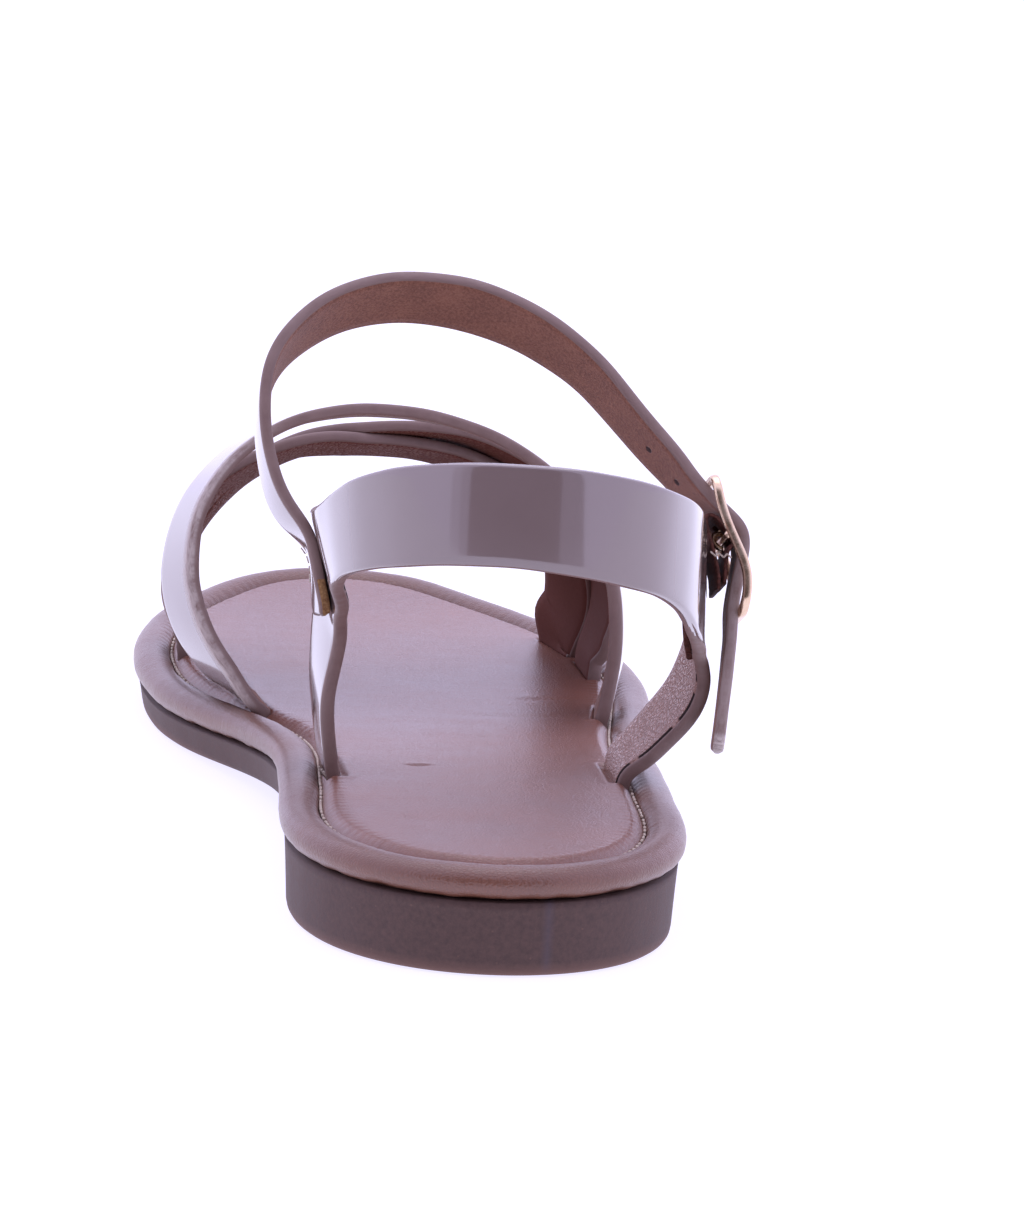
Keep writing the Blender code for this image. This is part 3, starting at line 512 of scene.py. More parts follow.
rawCut = makeFibre("rawCut", 1.4, (1900.0, 5.0, 0.7), ((0.15, 0.066, 0.025, 1.0), (0.48, 0.28, 0.12, 1.0)),
                   (0.75, 0.95), (0.7, 0.0003))
print("materials made:", len(bpy.data.materials))

# plan of the sole and its heights
sole = {
    "heelBack": (1.5, 0.0), "toeTip": (-6.0, 248.6),
    "outline": (  # y, medial x, lateral x
        (3.0, -11.0, 14.0), (10.0, -19.8, 22.9), (22.0, -26.6, 29.6), (38.0, -29.4, 32.6),
        (60.0, -28.2, 33.2), (62.0, -28.1, 33.3), (85.0, -26.8, 34.0), (108.0, -27.4, 35.0),
        (126.0, -31.2, 36.8), (146.0, -38.2, 39.3), (165.0, -42.8, 41.2), (183.0, -44.0, 40.8),
        (201.0, -42.6, 37.0), (218.0, -38.4, 29.2), (234.0, -29.8, 18.4), (244.0, -20.6, 8.8)),
    "seatHeel": 11.4, "seatBall": 4.7, "drop": (45.0, 168.0), "springFrom": 202.0, "spring": 2.6,
    "breast": 60.0, "breastRun": 2.0, "lip": 1.0, "draft": 0.7, "edge": 1.2, "seatInset": 5.0,
    "treadDepth": 0.7, "treadPitch": 5.2, "treadBorder": 5.0, "columns": 72,
    "heelTread": (6.0, 9.0, 52.0, 55.0), "ballTread": (128.0, 134.0, 236.0, 242.0),
}


def rimLine(spacing):  # closed rim, medial half first, with matching points on the lateral half
    medial = [(row[1], row[0]) for row in sole["outline"]]
    lateral = [(row[2], row[0]) for row in sole["outline"]]
    points = np.array([sole["heelBack"]] + medial + [sole["toeTip"]] + lateral[::-1] + [sole["heelBack"]])
    knots = chordKnots(points)
    cuts = []
    for i in range(len(medial) + 1):
        longest = max(knots[i + 1] - knots[i], knots[-1 - i] - knots[-2 - i])
        cuts.append(max(1, int(math.ceil(longest / spacing))))
    places = []
    for i, cut in enumerate(cuts + cuts[::-1]):
        places.extend(knots[i] + (knots[i + 1] - knots[i]) * np.arange(cut) / cut)
    line = splineThrough(knots, points, places, closed=True)
    along = unit(np.roll(line, -1, axis=0) - np.roll(line, 1, axis=0))
    inward = np.stack([along[:, 1], -along[:, 0]], axis=1)
    if inward[0, 1] < 0.0:
        inward = -inward
    run = chordKnots(np.vstack([line, line[:1]]))
    return {"line": line, "inward": inward, "run": run[:-1], "total": run[-1], "count": len(line)}


def rimX(y, side):
    half = rim["count"] // 2
    line = rim["line"]
    track = line[:half + 1] if side < 0 else np.vstack([line[half:], line[:1]])[::-1]
    return float(np.interp(y, track[:, 1], track[:, 0]))


def seatHeight(y):
    drop = (sole["seatHeel"] - sole["seatBall"]) * smooth(y, *sole["drop"])
    start = sole["springFrom"]
    toe = np.clip((np.asarray(y, float) - start) / (sole["toeTip"][1] - start), 0.0, 1.0)
    return sole["seatHeel"] - drop + sole["spring"] * toe ** 2


def treadHeight(y):
    arch = seatHeight(y) - sole["seatBall"]
    return arch * smooth(y, sole["breast"] - 0.01, sole["breast"] + sole["breastRun"])


def insetLoop(line, inset, height):  # one loop inside the rim at a height worked out from y
    flat = line["line"] + line["inward"] * np.broadcast_to(inset, (line["count"],))[:, None]
    return np.column_stack([flat, np.broadcast_to(height(flat[:, 1]), (line["count"],))])


def seatLoop(line, inset, rise):  # one loop inside the rim, raised over the sole's seat
    return insetLoop(line, inset, lambda y: seatHeight(y) + rise)


def fillField(loop, columns):  # points between the halves of a closed loop: rows of equal columns
    half = len(loop) // 2
    left = loop[1:half]
    right = loop[half + 1:][::-1]
    share = 0.5 - 0.5 * np.cos(np.pi * (np.arange(1, columns) / columns))
    return left[:, None] + (right - left)[:, None] * share[None, :, None]


def shellFaces(loops, count, rows, columns):  # stacked loops, the first filled plainly, the last with a field
    faces = gridFaces(loops, count)
    half = count // 2
    for i in range(half):
        face = [i, i + 1, (count - i - 1) % count, (count - i) % count]
        faces.append(list(dict.fromkeys(face))[::-1])
    start = (loops - 1) * count
    inner = loops * count + np.arange(rows * (columns - 1)).reshape(rows, columns - 1)
    full = np.column_stack([start + np.arange(1, half), inner, start + np.arange(half + 1, count)[::-1]])
    quads = np.stack([full[:-1, :-1], full[:-1, 1:], full[1:, 1:], full[1:, :-1]], axis=-1)
    faces += quads.reshape(-1, 4).tolist()
    for row, tip in ((full[0], start), (full[-1], start + half)):
        faces.extend([tip, int(row[j + 1]), int(row[j])] for j in range(len(row) - 1))
    return faces


rim = rimLine(0.45)
soleRim = rimLine(0.8)
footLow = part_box("footbed")[0]
shift = np.array([footLow.x / mm - rim["line"][:, 0].min(), footLow.y / mm, 0.0])
print("rim points:", rim["count"], "shift:", np.round(shift, 3))


def makeOutsole():
    lip, draft, edge = sole["lip"], sole["draft"], sole["edge"]
    loops = [seatLoop(soleRim, sole["seatInset"], 0.0)]
    for share in np.linspace(0.0, 1.0, 9):  # wall, from the seat down to the rounded bottom edge
        loops.append(insetLoop(soleRim, lip + draft * share ** 0.8,
                               lambda y: seatHeight(y) + (treadHeight(y) + edge - seatHeight(y)) * share))
    for angle in np.radians((22.5, 45.0, 67.5, 90.0)):
        loops.append(insetLoop(soleRim, lip + draft + edge * (1.0 - math.cos(angle)),
                               lambda y: treadHeight(y) + edge * (1.0 - math.sin(angle))))
    wobble = 0.06 * ripple(soleRim["run"], (31.0, 17.0, 9.0), 4)
    for loop in loops[2:10]:
        loop[:, :2] += soleRim["inward"] * wobble[:, None]
    field = fillField(loops[-1], sole["columns"])
    flat = field.reshape(-1, 3)
    edgeGap = np.minimum(np.linalg.norm(field - field[:, :1], axis=2),
                         np.linalg.norm(field - field[:, -1:], axis=2))
    wave = np.sin(2.0 * np.pi * (flat[:, 1] + 2.2 * np.sin(flat[:, 0] / 4.2)) / sole["treadPitch"])
    rib = smooth(wave, 0.15, 0.75) * smooth(edgeGap.ravel(), sole["treadBorder"], sole["treadBorder"] + 1.2)
    zone = np.maximum(window(flat[:, 1], *sole["heelTread"]), window(flat[:, 1], *sole["ballTread"]))
    flat[:, 2] = treadHeight(flat[:, 1]) + sole["treadDepth"] * rib * zone
    faces = shellFaces(len(loops), soleRim["count"], len(field), sole["columns"])
    makePiece("outsole_moulded", np.vstack(loops + [flat]), faces, [soleRubber], "sole_rubber", ("outsole",))


makeOutsole()
print("outsole made")

# the forefoot of the last, which the straps lie on
last = {
    "sections": (  # y, crest x z, medial bulge x z, lateral bulge x z
        (122.0, -10.5, 64.0, -33.8, 39.0, 30.2, 25.5), (130.0, -10.0, 61.9, -37.8, 36.0, 31.2, 25.0),
        (138.0, -9.5, 59.6, -39.7, 33.0, 32.4, 24.5), (146.0, -9.0, 57.2, -41.0, 30.0, 33.6, 24.0),
        (155.0, -10.0, 53.6, -38.6, 27.6, 33.8, 22.5), (168.0, -10.0, 47.6, -36.8, 24.6, 32.9, 19.5),
        (182.0, -9.0, 40.8, -37.0, 20.6, 31.8, 16.5), (205.0, -8.0, 32.0, -34.0, 18.0, 24.0, 14.5)),
    "medialTurn": 0.16, "crestTurn": 0.46, "lateralTurn": 0.84,
    "roundness": 2.1, "tuck": 0.5, "rootRise": 2.2, "footbed": 5.3, "footRise": 0.9,
}


def lastPoint(y, share, inset, lateralInset):
    table = np.array(last["sections"])
    crestX, crestZ, medialX, medialZ, lateralX, lateralZ = splineThrough(table[:, 0], table[:, 1:], [y])[0]
    base = float(seatHeight(y)) + last["footbed"]
    if share <= last["crestTurn"]:
        bulge, foot = (medialX, medialZ), (rimX(y, -1) + inset, base)
        lower, turn, reach = share, last["medialTurn"], last["crestTurn"]
    else:
        bulge, foot = (lateralX, lateralZ), (rimX(y, 1) - lateralInset, base)
        lower, turn, reach = 1.0 - share, 1.0 - last["lateralTurn"], 1.0 - last["crestTurn"]
    if lower <= turn:
        t = lower / turn
        curve = (foot, (foot[0] + 0.3 * (bulge[0] - foot[0]), foot[1] + last["rootRise"]),
                 (bulge[0], foot[1] + last["tuck"] * (bulge[1] - foot[1])), bulge)
        weights = ((1 - t) ** 3, 3 * t * (1 - t) ** 2, 3 * t * t * (1 - t), t ** 3)
        x, z = (sum(w * p[i] for w, p in zip(weights, curve)) for i in (0, 1))
    else:
        angle = min(1.0, (lower - turn) / (reach - turn)) * math.pi / 2.0
        power = 2.0 / last["roundness"]
        x = crestX + (bulge[0] - crestX) * max(0.0, math.cos(angle)) ** power
        z = bulge[1] + (crestZ - bulge[1]) * math.sin(angle) ** power
    return np.array([x, y, z])


def letDown(path):  # add the strap's feet, which go down into the footbed
    feet = path[[0, -1]].copy()
    feet[:, 2] = seatHeight(feet[:, 1]) + last["footRise"]
    return np.vstack([feet[:1], path, feet[1:]])


def laidPath(rows, insets, lift, tilt):  # middle line, width direction and share of a strap over the last
    table = np.array(rows)
    shares = np.linspace(0.0, 1.0, 361)
    stations = splineThrough(table[:, 0], table[:, 1], shares)[:, 0]
    middle = np.array([lastPoint(y, s, *insets) for y, s in zip(stations, shares)])
    ahead = np.array([lastPoint(y + 1.0, s, *insets) for y, s in zip(stations, shares)])
    across, outward = faceWays(middle, ahead - middle)
    middle = middle + outward * lift(shares)[:, None]
    turned = np.radians(tilt) * window(shares, 0.16, 0.36, 0.58, 0.80)
    across = across * np.cos(turned)[:, None] + outward * np.sin(turned)[:, None]
    run = chordKnots(middle)
    across[:, 2] *= smooth(np.minimum(run, run[-1] - run), 0.0, 10.0)
    return resample(letDown(np.column_stack([middle, unit(across), shares])), 0.6)


patentFace, paintedEdge, lining, cutEnd = range(4)  # a strap's finishes, in the order of its materials


def strapSection(thick, crown):  # share of the flat half, extra mm, height, finish of the next strip
    half = thick * 0.5
    turned = 0.7
    rows = [(f, 0.0, half + crown * (1.0 - f * f), patentFace) for f in np.linspace(-1.0, 1.0, 15)]
    angles = np.radians(np.linspace(70.0, -70.0, 11))
    edge = [(turned * math.cos(a) ** 0.7, half * math.sin(a)) for a in angles]
    rows += [(1.0, over, rise, paintedEdge) for over, rise in edge]
    rows += [(1.0, -0.02, -half + 0.10, lining), (1.0, -0.24, -half - 0.03, lining)]
    rows += [(f, 0.0, -half - 0.06, lining) for f in np.linspace(0.8, -0.8, 11)]
    rows += [(-1.0, 0.24, -half - 0.03, lining), (-1.0, 0.02, -half + 0.10, paintedEdge)]
    rows += [(-1.0, -over, rise, paintedEdge) for over, rise in edge[::-1]]
    finish = np.array([row[3] for row in rows])
    finish[[14, 25]] = (paintedEdge, lining)  # the last strips of the face and of the front edge
    return np.array([row[:3] for row in rows]), finish, turned


def sweepStrap(name, middle, across, width, thick, finishes, standsFor, seed, wear=None, crown=0.12, thin=1.0,
               rawRun=0.0, turnedRun=None):
    across, outward = faceWays(middle, across)
    run = chordKnots(middle)
    width = np.broadcast_to(np.asarray(width, float), (len(middle),))
    middle = middle + outward * (0.07 * ripple(run, (37.0, 19.0, 11.0), seed))[:, None]
    section, finish, turned = strapSection(thick, crown)
    scale = np.minimum(1.0, width / 9.0)[:, None]
    spread = section[None, :, 0] * (width[:, None] * 0.5 - turned * scale) + section[None, :, 1] * scale
    spread = spread * (1.0 + (0.05 * ripple(run, (13.0, 29.0), seed + 7) / (width * 0.5))[:, None])
    rise = section[None, :, 2] * np.broadcast_to(thin, (len(run),))[:, None]
    verts = middle[:, None] + across[:, None] * spread[:, :, None] + outward[:, None] * rise[:, :, None]
    rows, cols = spread.shape
    lay = np.stack([np.broadcast_to(run[:, None], spread.shape), spread + width[:, None] * 0.5,
                    width[:, None] * 0.5 - spread], axis=-1)
    # the wear mark holds real scuffs, and along the ankle strap's tail painted light as well
    mark = np.zeros(spread.shape) if wear is None else wear(run, lay, section)
    picks = np.tile(finish, (rows - 1, 1))
    rawSide = (finish == paintedEdge) & (section[:, 0] < 0.0) & (section[:, 2] < 0.25)
    picks[np.ix_(run[:-1] < rawRun, rawSide)] = cutEnd
    if turnedRun:  # patent turned over the edges, running out slowly at both ends
        start, stop = turnedRun
        full = window(run[:-1], start, start + 18.0, stop - 22.0, stop)
        over = section[None, :, 2] > (0.5 * thick - 1.45 * full)[:, None]
        picks[(finish == paintedEdge)[None, :] & over] = patentFace
    return makePiece(name, verts.reshape(-1, 3), sweptFaces(rows, cols), list(finishes) + [rawCut],
                     "patent_strap", standsFor, picks.ravel().tolist() + [cutEnd, cutEnd],
                     {"lay": lay.reshape(-1, 3), "wear": mark.ravel()})


slots = []  # centre, width direction, half width and half thickness of each strap foot


def noteSlots(middle, across, width, thick, gape=0.0):  # a slot can gape towards the middle of the foot
    for end in (0, -1):
        inward = np.array([-0.5 * gape * np.sign(middle[end][0]), 0.0])
        slots.append((middle[end][:2] + inward, unit(across[end][:2]), width * 0.5, (thick + gape) * 0.5))


def overCrest(shares):  # 1 over the crest of the last and 0 down the sides
    return window(shares, 0.14, 0.34, 0.60, 0.84)


def layStrap(name, strap, path, materials, standsFor, seed, wear=None):  # thinner over the crest
    noteSlots(path[:, :3], path[:, 3:6], strap["width"], strap["thick"])
    sweepStrap(name, path[:, :3], path[:, 3:6], strap["width"], strap["thick"], materials, standsFor, seed,
               wear, thin=1.0 - (1.0 - strap["crestThin"]) * overCrest(path[:, 6]))


# instep strap, straight across, its medial rear edge scuffed down to the fibre
instep = {"rows": ((0.0, 138.0), (0.46, 138.0), (1.0, 137.5)), "insets": (9.0, 8.0),
          "width": 15.0, "thick": 2.3, "tilt": 4.0, "lift": 0.6, "crestThin": 0.8,
          "scuffWidth": 2.4, "scuffRun": (4.0, 8.0, 50.0, 64.0)}


def instepScuff(run, lay, section):
    near = 1.0 - smooth(lay[:, :, 1], instep["scuffWidth"] * 0.75, instep["scuffWidth"])
    return 0.72 * near * window(run, *instep["scuffRun"])[:, None] * smooth(section[None, :, 2], -0.45, 0.1)


def makeInstep():
    path = laidPath(instep["rows"], instep["insets"], lambda shares: instep["lift"] * overCrest(shares),
                    instep["tilt"])
    layStrap("instep_strap_patent", instep, path, (patentNude, edgePaint, suedeLining), ("instep_strap",), 11,
             instepScuff)


# two vamp straps that cross on the crest, the upper one lifted over the lower
crossed = {
    "upper": ((0.0, 187.0), (0.12, 186.0), (0.46, 162.0), (0.86, 175.4), (1.0, 176.0)),
    "lower": ((0.0, 157.0), (0.12, 157.0), (0.46, 162.0), (0.86, 192.2), (1.0, 194.0)),
    "upperInsets": (8.6, 9.3), "lowerInsets": (13.0, 10.0),
    "width": 15.0, "thick": 2.3, "crestThin": 0.8, "tilt": 5.0, "hip": (0.06, 0.16, 0.24, 0.38),
    "upperLift": (0.0, 1.1, 2.5), "lowerLift": (1.4, -0.5, 2.5),  # on the hip, the crest and the shoulder
    "upperShoulder": (0.44, 0.58, 0.76, 0.94), "lowerShoulder": (0.44, 0.58, 0.60, 0.86),
}


def makeCrossed(name, strap, seed):
    hip, crest, shoulder = crossed[strap + "Lift"]
    path = laidPath(crossed[strap], crossed[strap + "Insets"], lambda shares: crest * overCrest(shares)
                    + hip * window(shares, *crossed["hip"])
                    + shoulder * window(shares, *crossed[strap + "Shoulder"]), crossed["tilt"])
    layStrap(name, crossed, path, (patentNude, edgePaint, crossedLining), ("crossed_vamp_straps",), seed)


makeInstep()
makeCrossed("crossed_strap_lower", "lower", 21)
makeCrossed("crossed_strap_upper", "upper", 31)
print("instep and crossed straps made")

# heel band in one with its two legs: front or top edge, then rear or bottom edge
heelStrap = {
    "thick": 2.2, "turnedRun": (62.0, 178.0), "slotGape": 0.7,
    "edges": (
        (-19.6, 79.5, 15.2, -19.5, 62.5, 15.8), (-21.8, 79.0, 28.0, -21.1, 61.5, 28.0),
        (-21.9, 76.5, 41.0, -19.7, 60.0, 38.5), (-21.8, 71.0, 50.0, -20.6, 55.0, 45.5),
        (-23.4, 61.0, 55.8, -21.6, 47.0, 49.0), (-24.6, 47.0, 60.6, -22.4, 37.0, 52.0),
        (-22.4, 28.0, 68.8, -21.0, 24.0, 56.0), (-12.6, 11.2, 75.2, -12.2, 8.9, 60.4),
        (3.0, 5.0, 76.8, 3.0, 3.0, 61.4), (17.7, 8.8, 74.4, 17.6, 6.8, 58.6),
        (26.0, 18.6, 70.4, 26.0, 16.8, 54.3), (31.6, 37.0, 64.2, 31.6, 34.0, 46.0),
        (34.3, 56.0, 57.5, 34.4, 48.0, 40.2), (35.5, 69.5, 50.4, 36.0, 57.0, 36.4),
        (36.9, 77.3, 38.6, 37.0, 60.0, 32.6), (34.8, 79.2, 30.2, 35.9, 61.2, 28.0),
        (31.3, 80.0, 24.6, 32.2, 62.0, 23.0), (28.0, 80.0, 20.4, 28.8, 62.3, 19.6),
        (25.7, 80.0, 17.4, 26.0, 62.5, 17.2), (25.4, 80.0, 15.0, 25.4, 62.5, 15.0)),
}


def heelPath(spacing):
    table = np.array(heelStrap["edges"])
    knots = chordKnots((table[:, :3] + table[:, 3:]) * 0.5)
    fine = splineThrough(knots, table, np.linspace(0.0, knots[-1], 801))
    return resample(np.column_stack([(fine[:, :3] + fine[:, 3:]) * 0.5, fine[:, :3] - fine[:, 3:]]), spacing)


def makeHeelStrap():
    path = resample(letDown(heelPath(0.6)), 0.6)
    width = np.linalg.norm(path[:, 3:], axis=1)
    across = path[:, 3:].copy()
    for foot in (slice(0, 8), slice(-8, None)):
        across[foot, 2] = 0.0
    across = unit(across)
    noteSlots(path[:, :3], across, max(width[0], width[-1]), heelStrap["thick"], heelStrap["slotGape"])
    sweepStrap("heel_strap_patent", path[:, :3], across, width, heelStrap["thick"],
               (patentNude, edgePaint, pebbleLining), ("heel_strap",), 41, crown=0.1,
               turnedRun=heelStrap["turnedRun"])


makeHeelStrap()
print("heel strap made")

# buckle: a bowed frame with a centre bar, in directions down the leg, out from it and across it
buckle = {"place": (39.5, 65.0, 53.0), "tilt": 11.3, "turn": 5.0, "swing": 20.0,
          "halfLength": 10.6, "halfWidth": 7.2, "corner": 2.6,
          "bow": ((-1.0, 0.0), (-0.5, 0.05), (0.0, 1.0), (0.45, 1.65), (0.8, 0.85), (1.0, 0.0)),
          "bar": 0.7, "centreBar": 0.6, "setBack": 0.5, "barDown": -1.5, "prong": 0.45, "gap": 0.3}


def buckleWays():
    tilt, turn, swing = (math.radians(buckle[key]) for key in ("tilt", "turn", "swing"))
    fall = np.array([math.sin(tilt), 0.0, -math.cos(tilt)])
    face = np.array([math.cos(tilt), 0.0, math.sin(tilt)])
    ahead = np.array([0.0, math.cos(turn), 0.0]) - face * math.sin(turn)
    down = fall * math.cos(swing) - ahead * math.sin(swing)
    out = face * math.cos(turn) + np.array([0.0, math.sin(turn), 0.0])
    return down, out, ahead * math.cos(swing) + fall * math.sin(swing)


buckleDown, buckleOut, buckleAcross = buckleWays()


def bucklePoint(down, out, across):
    table = np.array(buckle["bow"])
    bow = splineThrough(table[:, 0], table[:, 1], [min(1.0, max(-1.0, down / buckle["halfLength"]))])[0, 0]
    return np.array(buckle["place"]) + buckleDown * down + buckleOut * (out + bow) + buckleAcross * across


# ankle strap, stitched on the medial leg, over the ankle and through the buckle to a free tail
ankle = {
    "width": 10.5, "thick": 1.8,
    "legLean": 24.0, "onLeg": ((61.4, 41.6), (62.6, 46.6), (64.2, 52.0)), "offLeg": 0.15,
    "rows": (  # middle x, y, z and the lean of the width from level
        (-28.2, 65.2, 56.6, 28.0), (-31.0, 66.5, 62.3, 31.0), (-32.5, 68.5, 70.0, 32.0),
        (-31.6, 70.8, 77.6, 37.5), (-27.4, 74.0, 83.1, 44.0), (-20.0, 77.0, 87.2, 49.5),
        (-10.0, 78.5, 88.9, 53.4), (1.0, 78.0, 87.6, 56.2), (9.3, 76.0, 84.6, 53.8),
        (19.4, 73.9, 77.5, 47.8), (26.6, 71.6, 69.9, 45.6)),
    "tail": (  # middle x, y, z, lean and slew
        (40.4, 59.3, 37.8, 15.0, 0.08), (39.9, 58.4, 31.0, 11.0, 0.1), (39.1, 57.2, 22.6, 8.0, 0.1)),
    "lead": ((3.0, 3.0, 20.0), (0.0, 1.4, 15.0)),  # before the frame, under it, extra lean
    "tailPoint": 3.0, "legPoint": 2.6, "endRound": 0.9, "rawRun": 5.0,
    "holeRadius": 0.62, "holesFromBuckle": (-12.6, -19.4),
    "stitchSide": 0.41, "stitchStarts": (6.4, 12.0, 1.6), "stitchLength": 1.2,
}


def legFace(y, z):  # outer face of the medial leg
    path = heelPath(1.0)
    path = path[path[:, 0] < 0.0]
    shares = np.linspace(-0.5, 0.5, 21)
    points = (path[:, None, :3] + path[:, None, 3:] * shares[None, :, None]).reshape(-1, 3)
    near = np.argmin(np.hypot(points[:, 1] - y, points[:, 2] - z))
    return points[near, 0] - heelStrap["thick"] * 0.5


def anklePath():
    half = ankle["thick"] * 0.5
    lean = math.radians(ankle["legLean"])
    reach = 0.5 * ankle["width"]
    rows = []
    steps = (-1.0, -0.5, 0.0, 0.5, 1.0)
    for y, z in ankle["onLeg"]:
        faces = [legFace(y + reach * t * math.cos(lean), z - reach * t * math.sin(lean)) for t in steps]
        cant = (faces[4] - faces[0]) / ankle["width"]
        clear = min(face - cant * reach * t for face, t in zip(faces, steps))
        rows.append((clear - ankle["offLeg"] - half, y, z, ankle["legLean"], cant))
    rows.extend((*row, 0.0) for row in ankle["rows"])
    under = buckle["bar"] + buckle["gap"] + half
    over = buckle["centreBar"] - buckle["setBack"] + 2.0 * buckle["gap"] + 0.5 + half
    end, bar = buckle["halfLength"], buckle["barDown"]
    cant = math.degrees(math.asin(-buckleAcross[2]))
    for before, drop, twist in ankle["lead"]:
        rows.append((*bucklePoint(-end - before, -under - drop, 0.0), cant + twist, buckleAcross[0]))
    for down, out, slew in ((bar - 3.8, 0.45 * over, buckleAcross[0]), (bar - 0.2, over, buckleAcross[0]),
                            (bar + 4.4, 0.1 * over, 0.02), (end - 0.8, -under + 0.7, 0.05),
                            (end + 2.0, -under + 0.4, 0.07)):
        rows.append((*bucklePoint(down, out, 0.0), cant, slew))
    rows.extend(ankle["tail"])
    table = np.array(rows)
    knots = chordKnots(table[:, :3])
    fine = splineThrough(knots, table, np.linspace(0.0, knots[-1], 1601))
    lean = np.radians(fine[:, 3])
    across = np.stack([fine[:, 4], np.cos(lean), -np.sin(lean)], axis=1)
    path = resample(np.column_stack([fine[:, :3], across]), 0.45)
    return path[:, :3], unit(path[:, 3:])


def paleTip(run, lay, section):  # bare tip, and painted light on the tail above it, lifting it a little towards beige
    fromEnd = run - run[-1]
    mark = np.maximum(smooth(fromEnd, -3.4, -3.0), 0.24 * smooth(fromEnd, -36.0, -26.0))
    return np.broadcast_to(mark[:, None], lay.shape[:2])


def makeAnkleStrap(middle, across):
    run = chordKnots(middle)
    left = run[-1] - run
    ends = np.minimum(roundedEnd(left, ankle["tailPoint"]), roundedEnd(run, ankle["legPoint"]))
    width = ankle["width"] * (0.35 + 0.65 * ends)
    thin = 0.3 + 0.7 * roundedEnd(np.minimum(left, run), ankle["endRound"])
    strap = sweepStrap("ankle_strap_patent", middle, across, width, ankle["thick"],
                       (patentNude, edgePaint, suedeLining), ("ankle_strap",), 51, paleTip, thin=thin,
                       rawRun=ankle["rawRun"])
    atBar = int(np.argmin(np.linalg.norm(middle - bucklePoint(buckle["barDown"] - 0.2, 1.2, 0.0), axis=1)))
    outward = faceWays(middle, across)[1]
    for step in ankle["holesFromBuckle"]:
        k = int(np.argmin(np.abs(run - run[atBar] - step)))
        reach = outward[k] * 2.2
        side = unit(np.cross(outward[k], (0.3, 0.2, 0.9)))
        cutAway(strap, *tubeMesh([middle[k] - reach, middle[k] + reach], ankle["holeRadius"], 14, side))
    corners = ((-0.9, -0.9), (1.6, -0.9), (1.6, 0.9), (-0.9, 0.9))  # the hole that the prong goes through
    hole = [bucklePoint(d, o, a) for d in (-8.8, buckle["barDown"] - 1.2) for o, a in corners]
    cutAway(strap, hole, sweptFaces(2, 4))


def makeEndStitches(middle, across):  # short stitches that hold the strap's end on the medial leg
    run = chordKnots(middle)
    line = middle + across * ankle["stitchSide"] * ankle["width"]
    line = line + faceWays(middle, across)[1] * (ankle["thick"] * 0.5 + 0.16)
    parts = []
    for start in np.arange(*ankle["stitchStarts"]):
        ends = [line[int(np.argmin(np.abs(run - place)))] for place in (start, start + ankle["stitchLength"])]
        parts.append(tubeMesh(np.linspace(*ends, 5), 0.12, 7, np.array([0.2, 0.9, 0.1])))
    makePiece("ankle_end_stitches", *joinMeshes(parts), [creamThread], "patent_strap")


ankleLine = anklePath()
makeAnkleStrap(*ankleLine)
makeEndStitches(*ankleLine)
print("ankle strap made and punched")


def makeBuckle():
    radius = buckle["corner"]
    down, wide = buckle["halfLength"] - radius, buckle["halfWidth"] - radius
    flat = []
    for corner in range(4):
        turn = corner * math.pi / 2.0
        centre = (down if corner in (0, 3) else -down, wide if corner in (0, 1) else -wide)
        for angle in np.linspace(turn, turn + math.pi / 2.0, 12):
            flat.append((centre[0] + radius * math.cos(angle), centre[1] + radius * math.sin(angle)))
        start = flat[-1]
        longSide = corner in (0, 2)
        for share in np.linspace(0.0, 1.0, 22 if longSide else 14)[1:-1]:
            back = 1.0 - 2.0 * share
            flat.append((start[0] * back, start[1]) if longSide else (start[0], start[1] * back))
    hoop = tubeMesh([bucklePoint(d, 0.0, a) for d, a in flat], buckle["bar"], 20, buckleOut, True, 3.4)
    reach = buckle["halfWidth"]
    line = [bucklePoint(buckle["barDown"], -buckle["setBack"], a) for a in np.linspace(-reach, reach, 12)]
    bar = tubeMesh(line, buckle["centreBar"], 18, buckleOut)
    makePiece("buckle_frame_gold", *joinMeshes([hoop, bar]), [paleGold], "gold_metal", ("buckle_frame",))


def makeProng():
    hook = buckle["centreBar"] + buckle["gap"] + buckle["prong"]
    tip = buckle["bar"] + buckle["gap"] + buckle["prong"]
    path = []
    for angle in np.radians(np.linspace(250.0, 60.0, 28)):
        path.append((buckle["barDown"] - hook * math.sin(angle), hook * math.cos(angle) - buckle["setBack"]))
    startDown, rise = path[-1]
    for share in np.linspace(0.0, 1.06, 26)[1:]:
        path.append((startDown + (-buckle["halfLength"] - startDown) * share,
                     rise + (tip - rise) * share ** 2 + 0.4 * math.sin(math.pi * min(share, 1.0))))
    points = np.array([bucklePoint(d, o, 0.0) for d, o in path])
    count = len(points)
    radius = buckle["prong"] * (1.0 - 0.35 * smooth(np.arange(count), count - 14, count - 1))
    makePiece("buckle_prong_gold", *tubeMesh(points, radius, 14, buckleAcross), [paleGold], "gold_metal",
              ("buckle_prong",))


# tab: a fold of lining round the centre bar, with a loose zigzag of thread and a frayed end inside the leg
tab = {"width": 9.6, "thick": 0.75, "slit": 2.2, "endHeights": (40.0, 46.0),
       "fold": ((6.3, -4.15), (4.0, -3.95), (1.0, -3.5), (-2.0, -3.0), (-4.2, -2.65), (-5.3, -2.0),
                (-4.9, -1.0), (-3.6, -0.3), (-2.4, 0.3), (-1.3, 0.55), (-0.3, 0.1), (0.3, -0.8),
                (1.6, -1.8), (3.6, -2.7), (5.6, -3.2)),
       "zigzag": ((0.4, -4.0), (1.3, -3.5), (0.8, -2.9), (1.7, -2.4), (1.2, -1.7), (2.0, -1.3))}


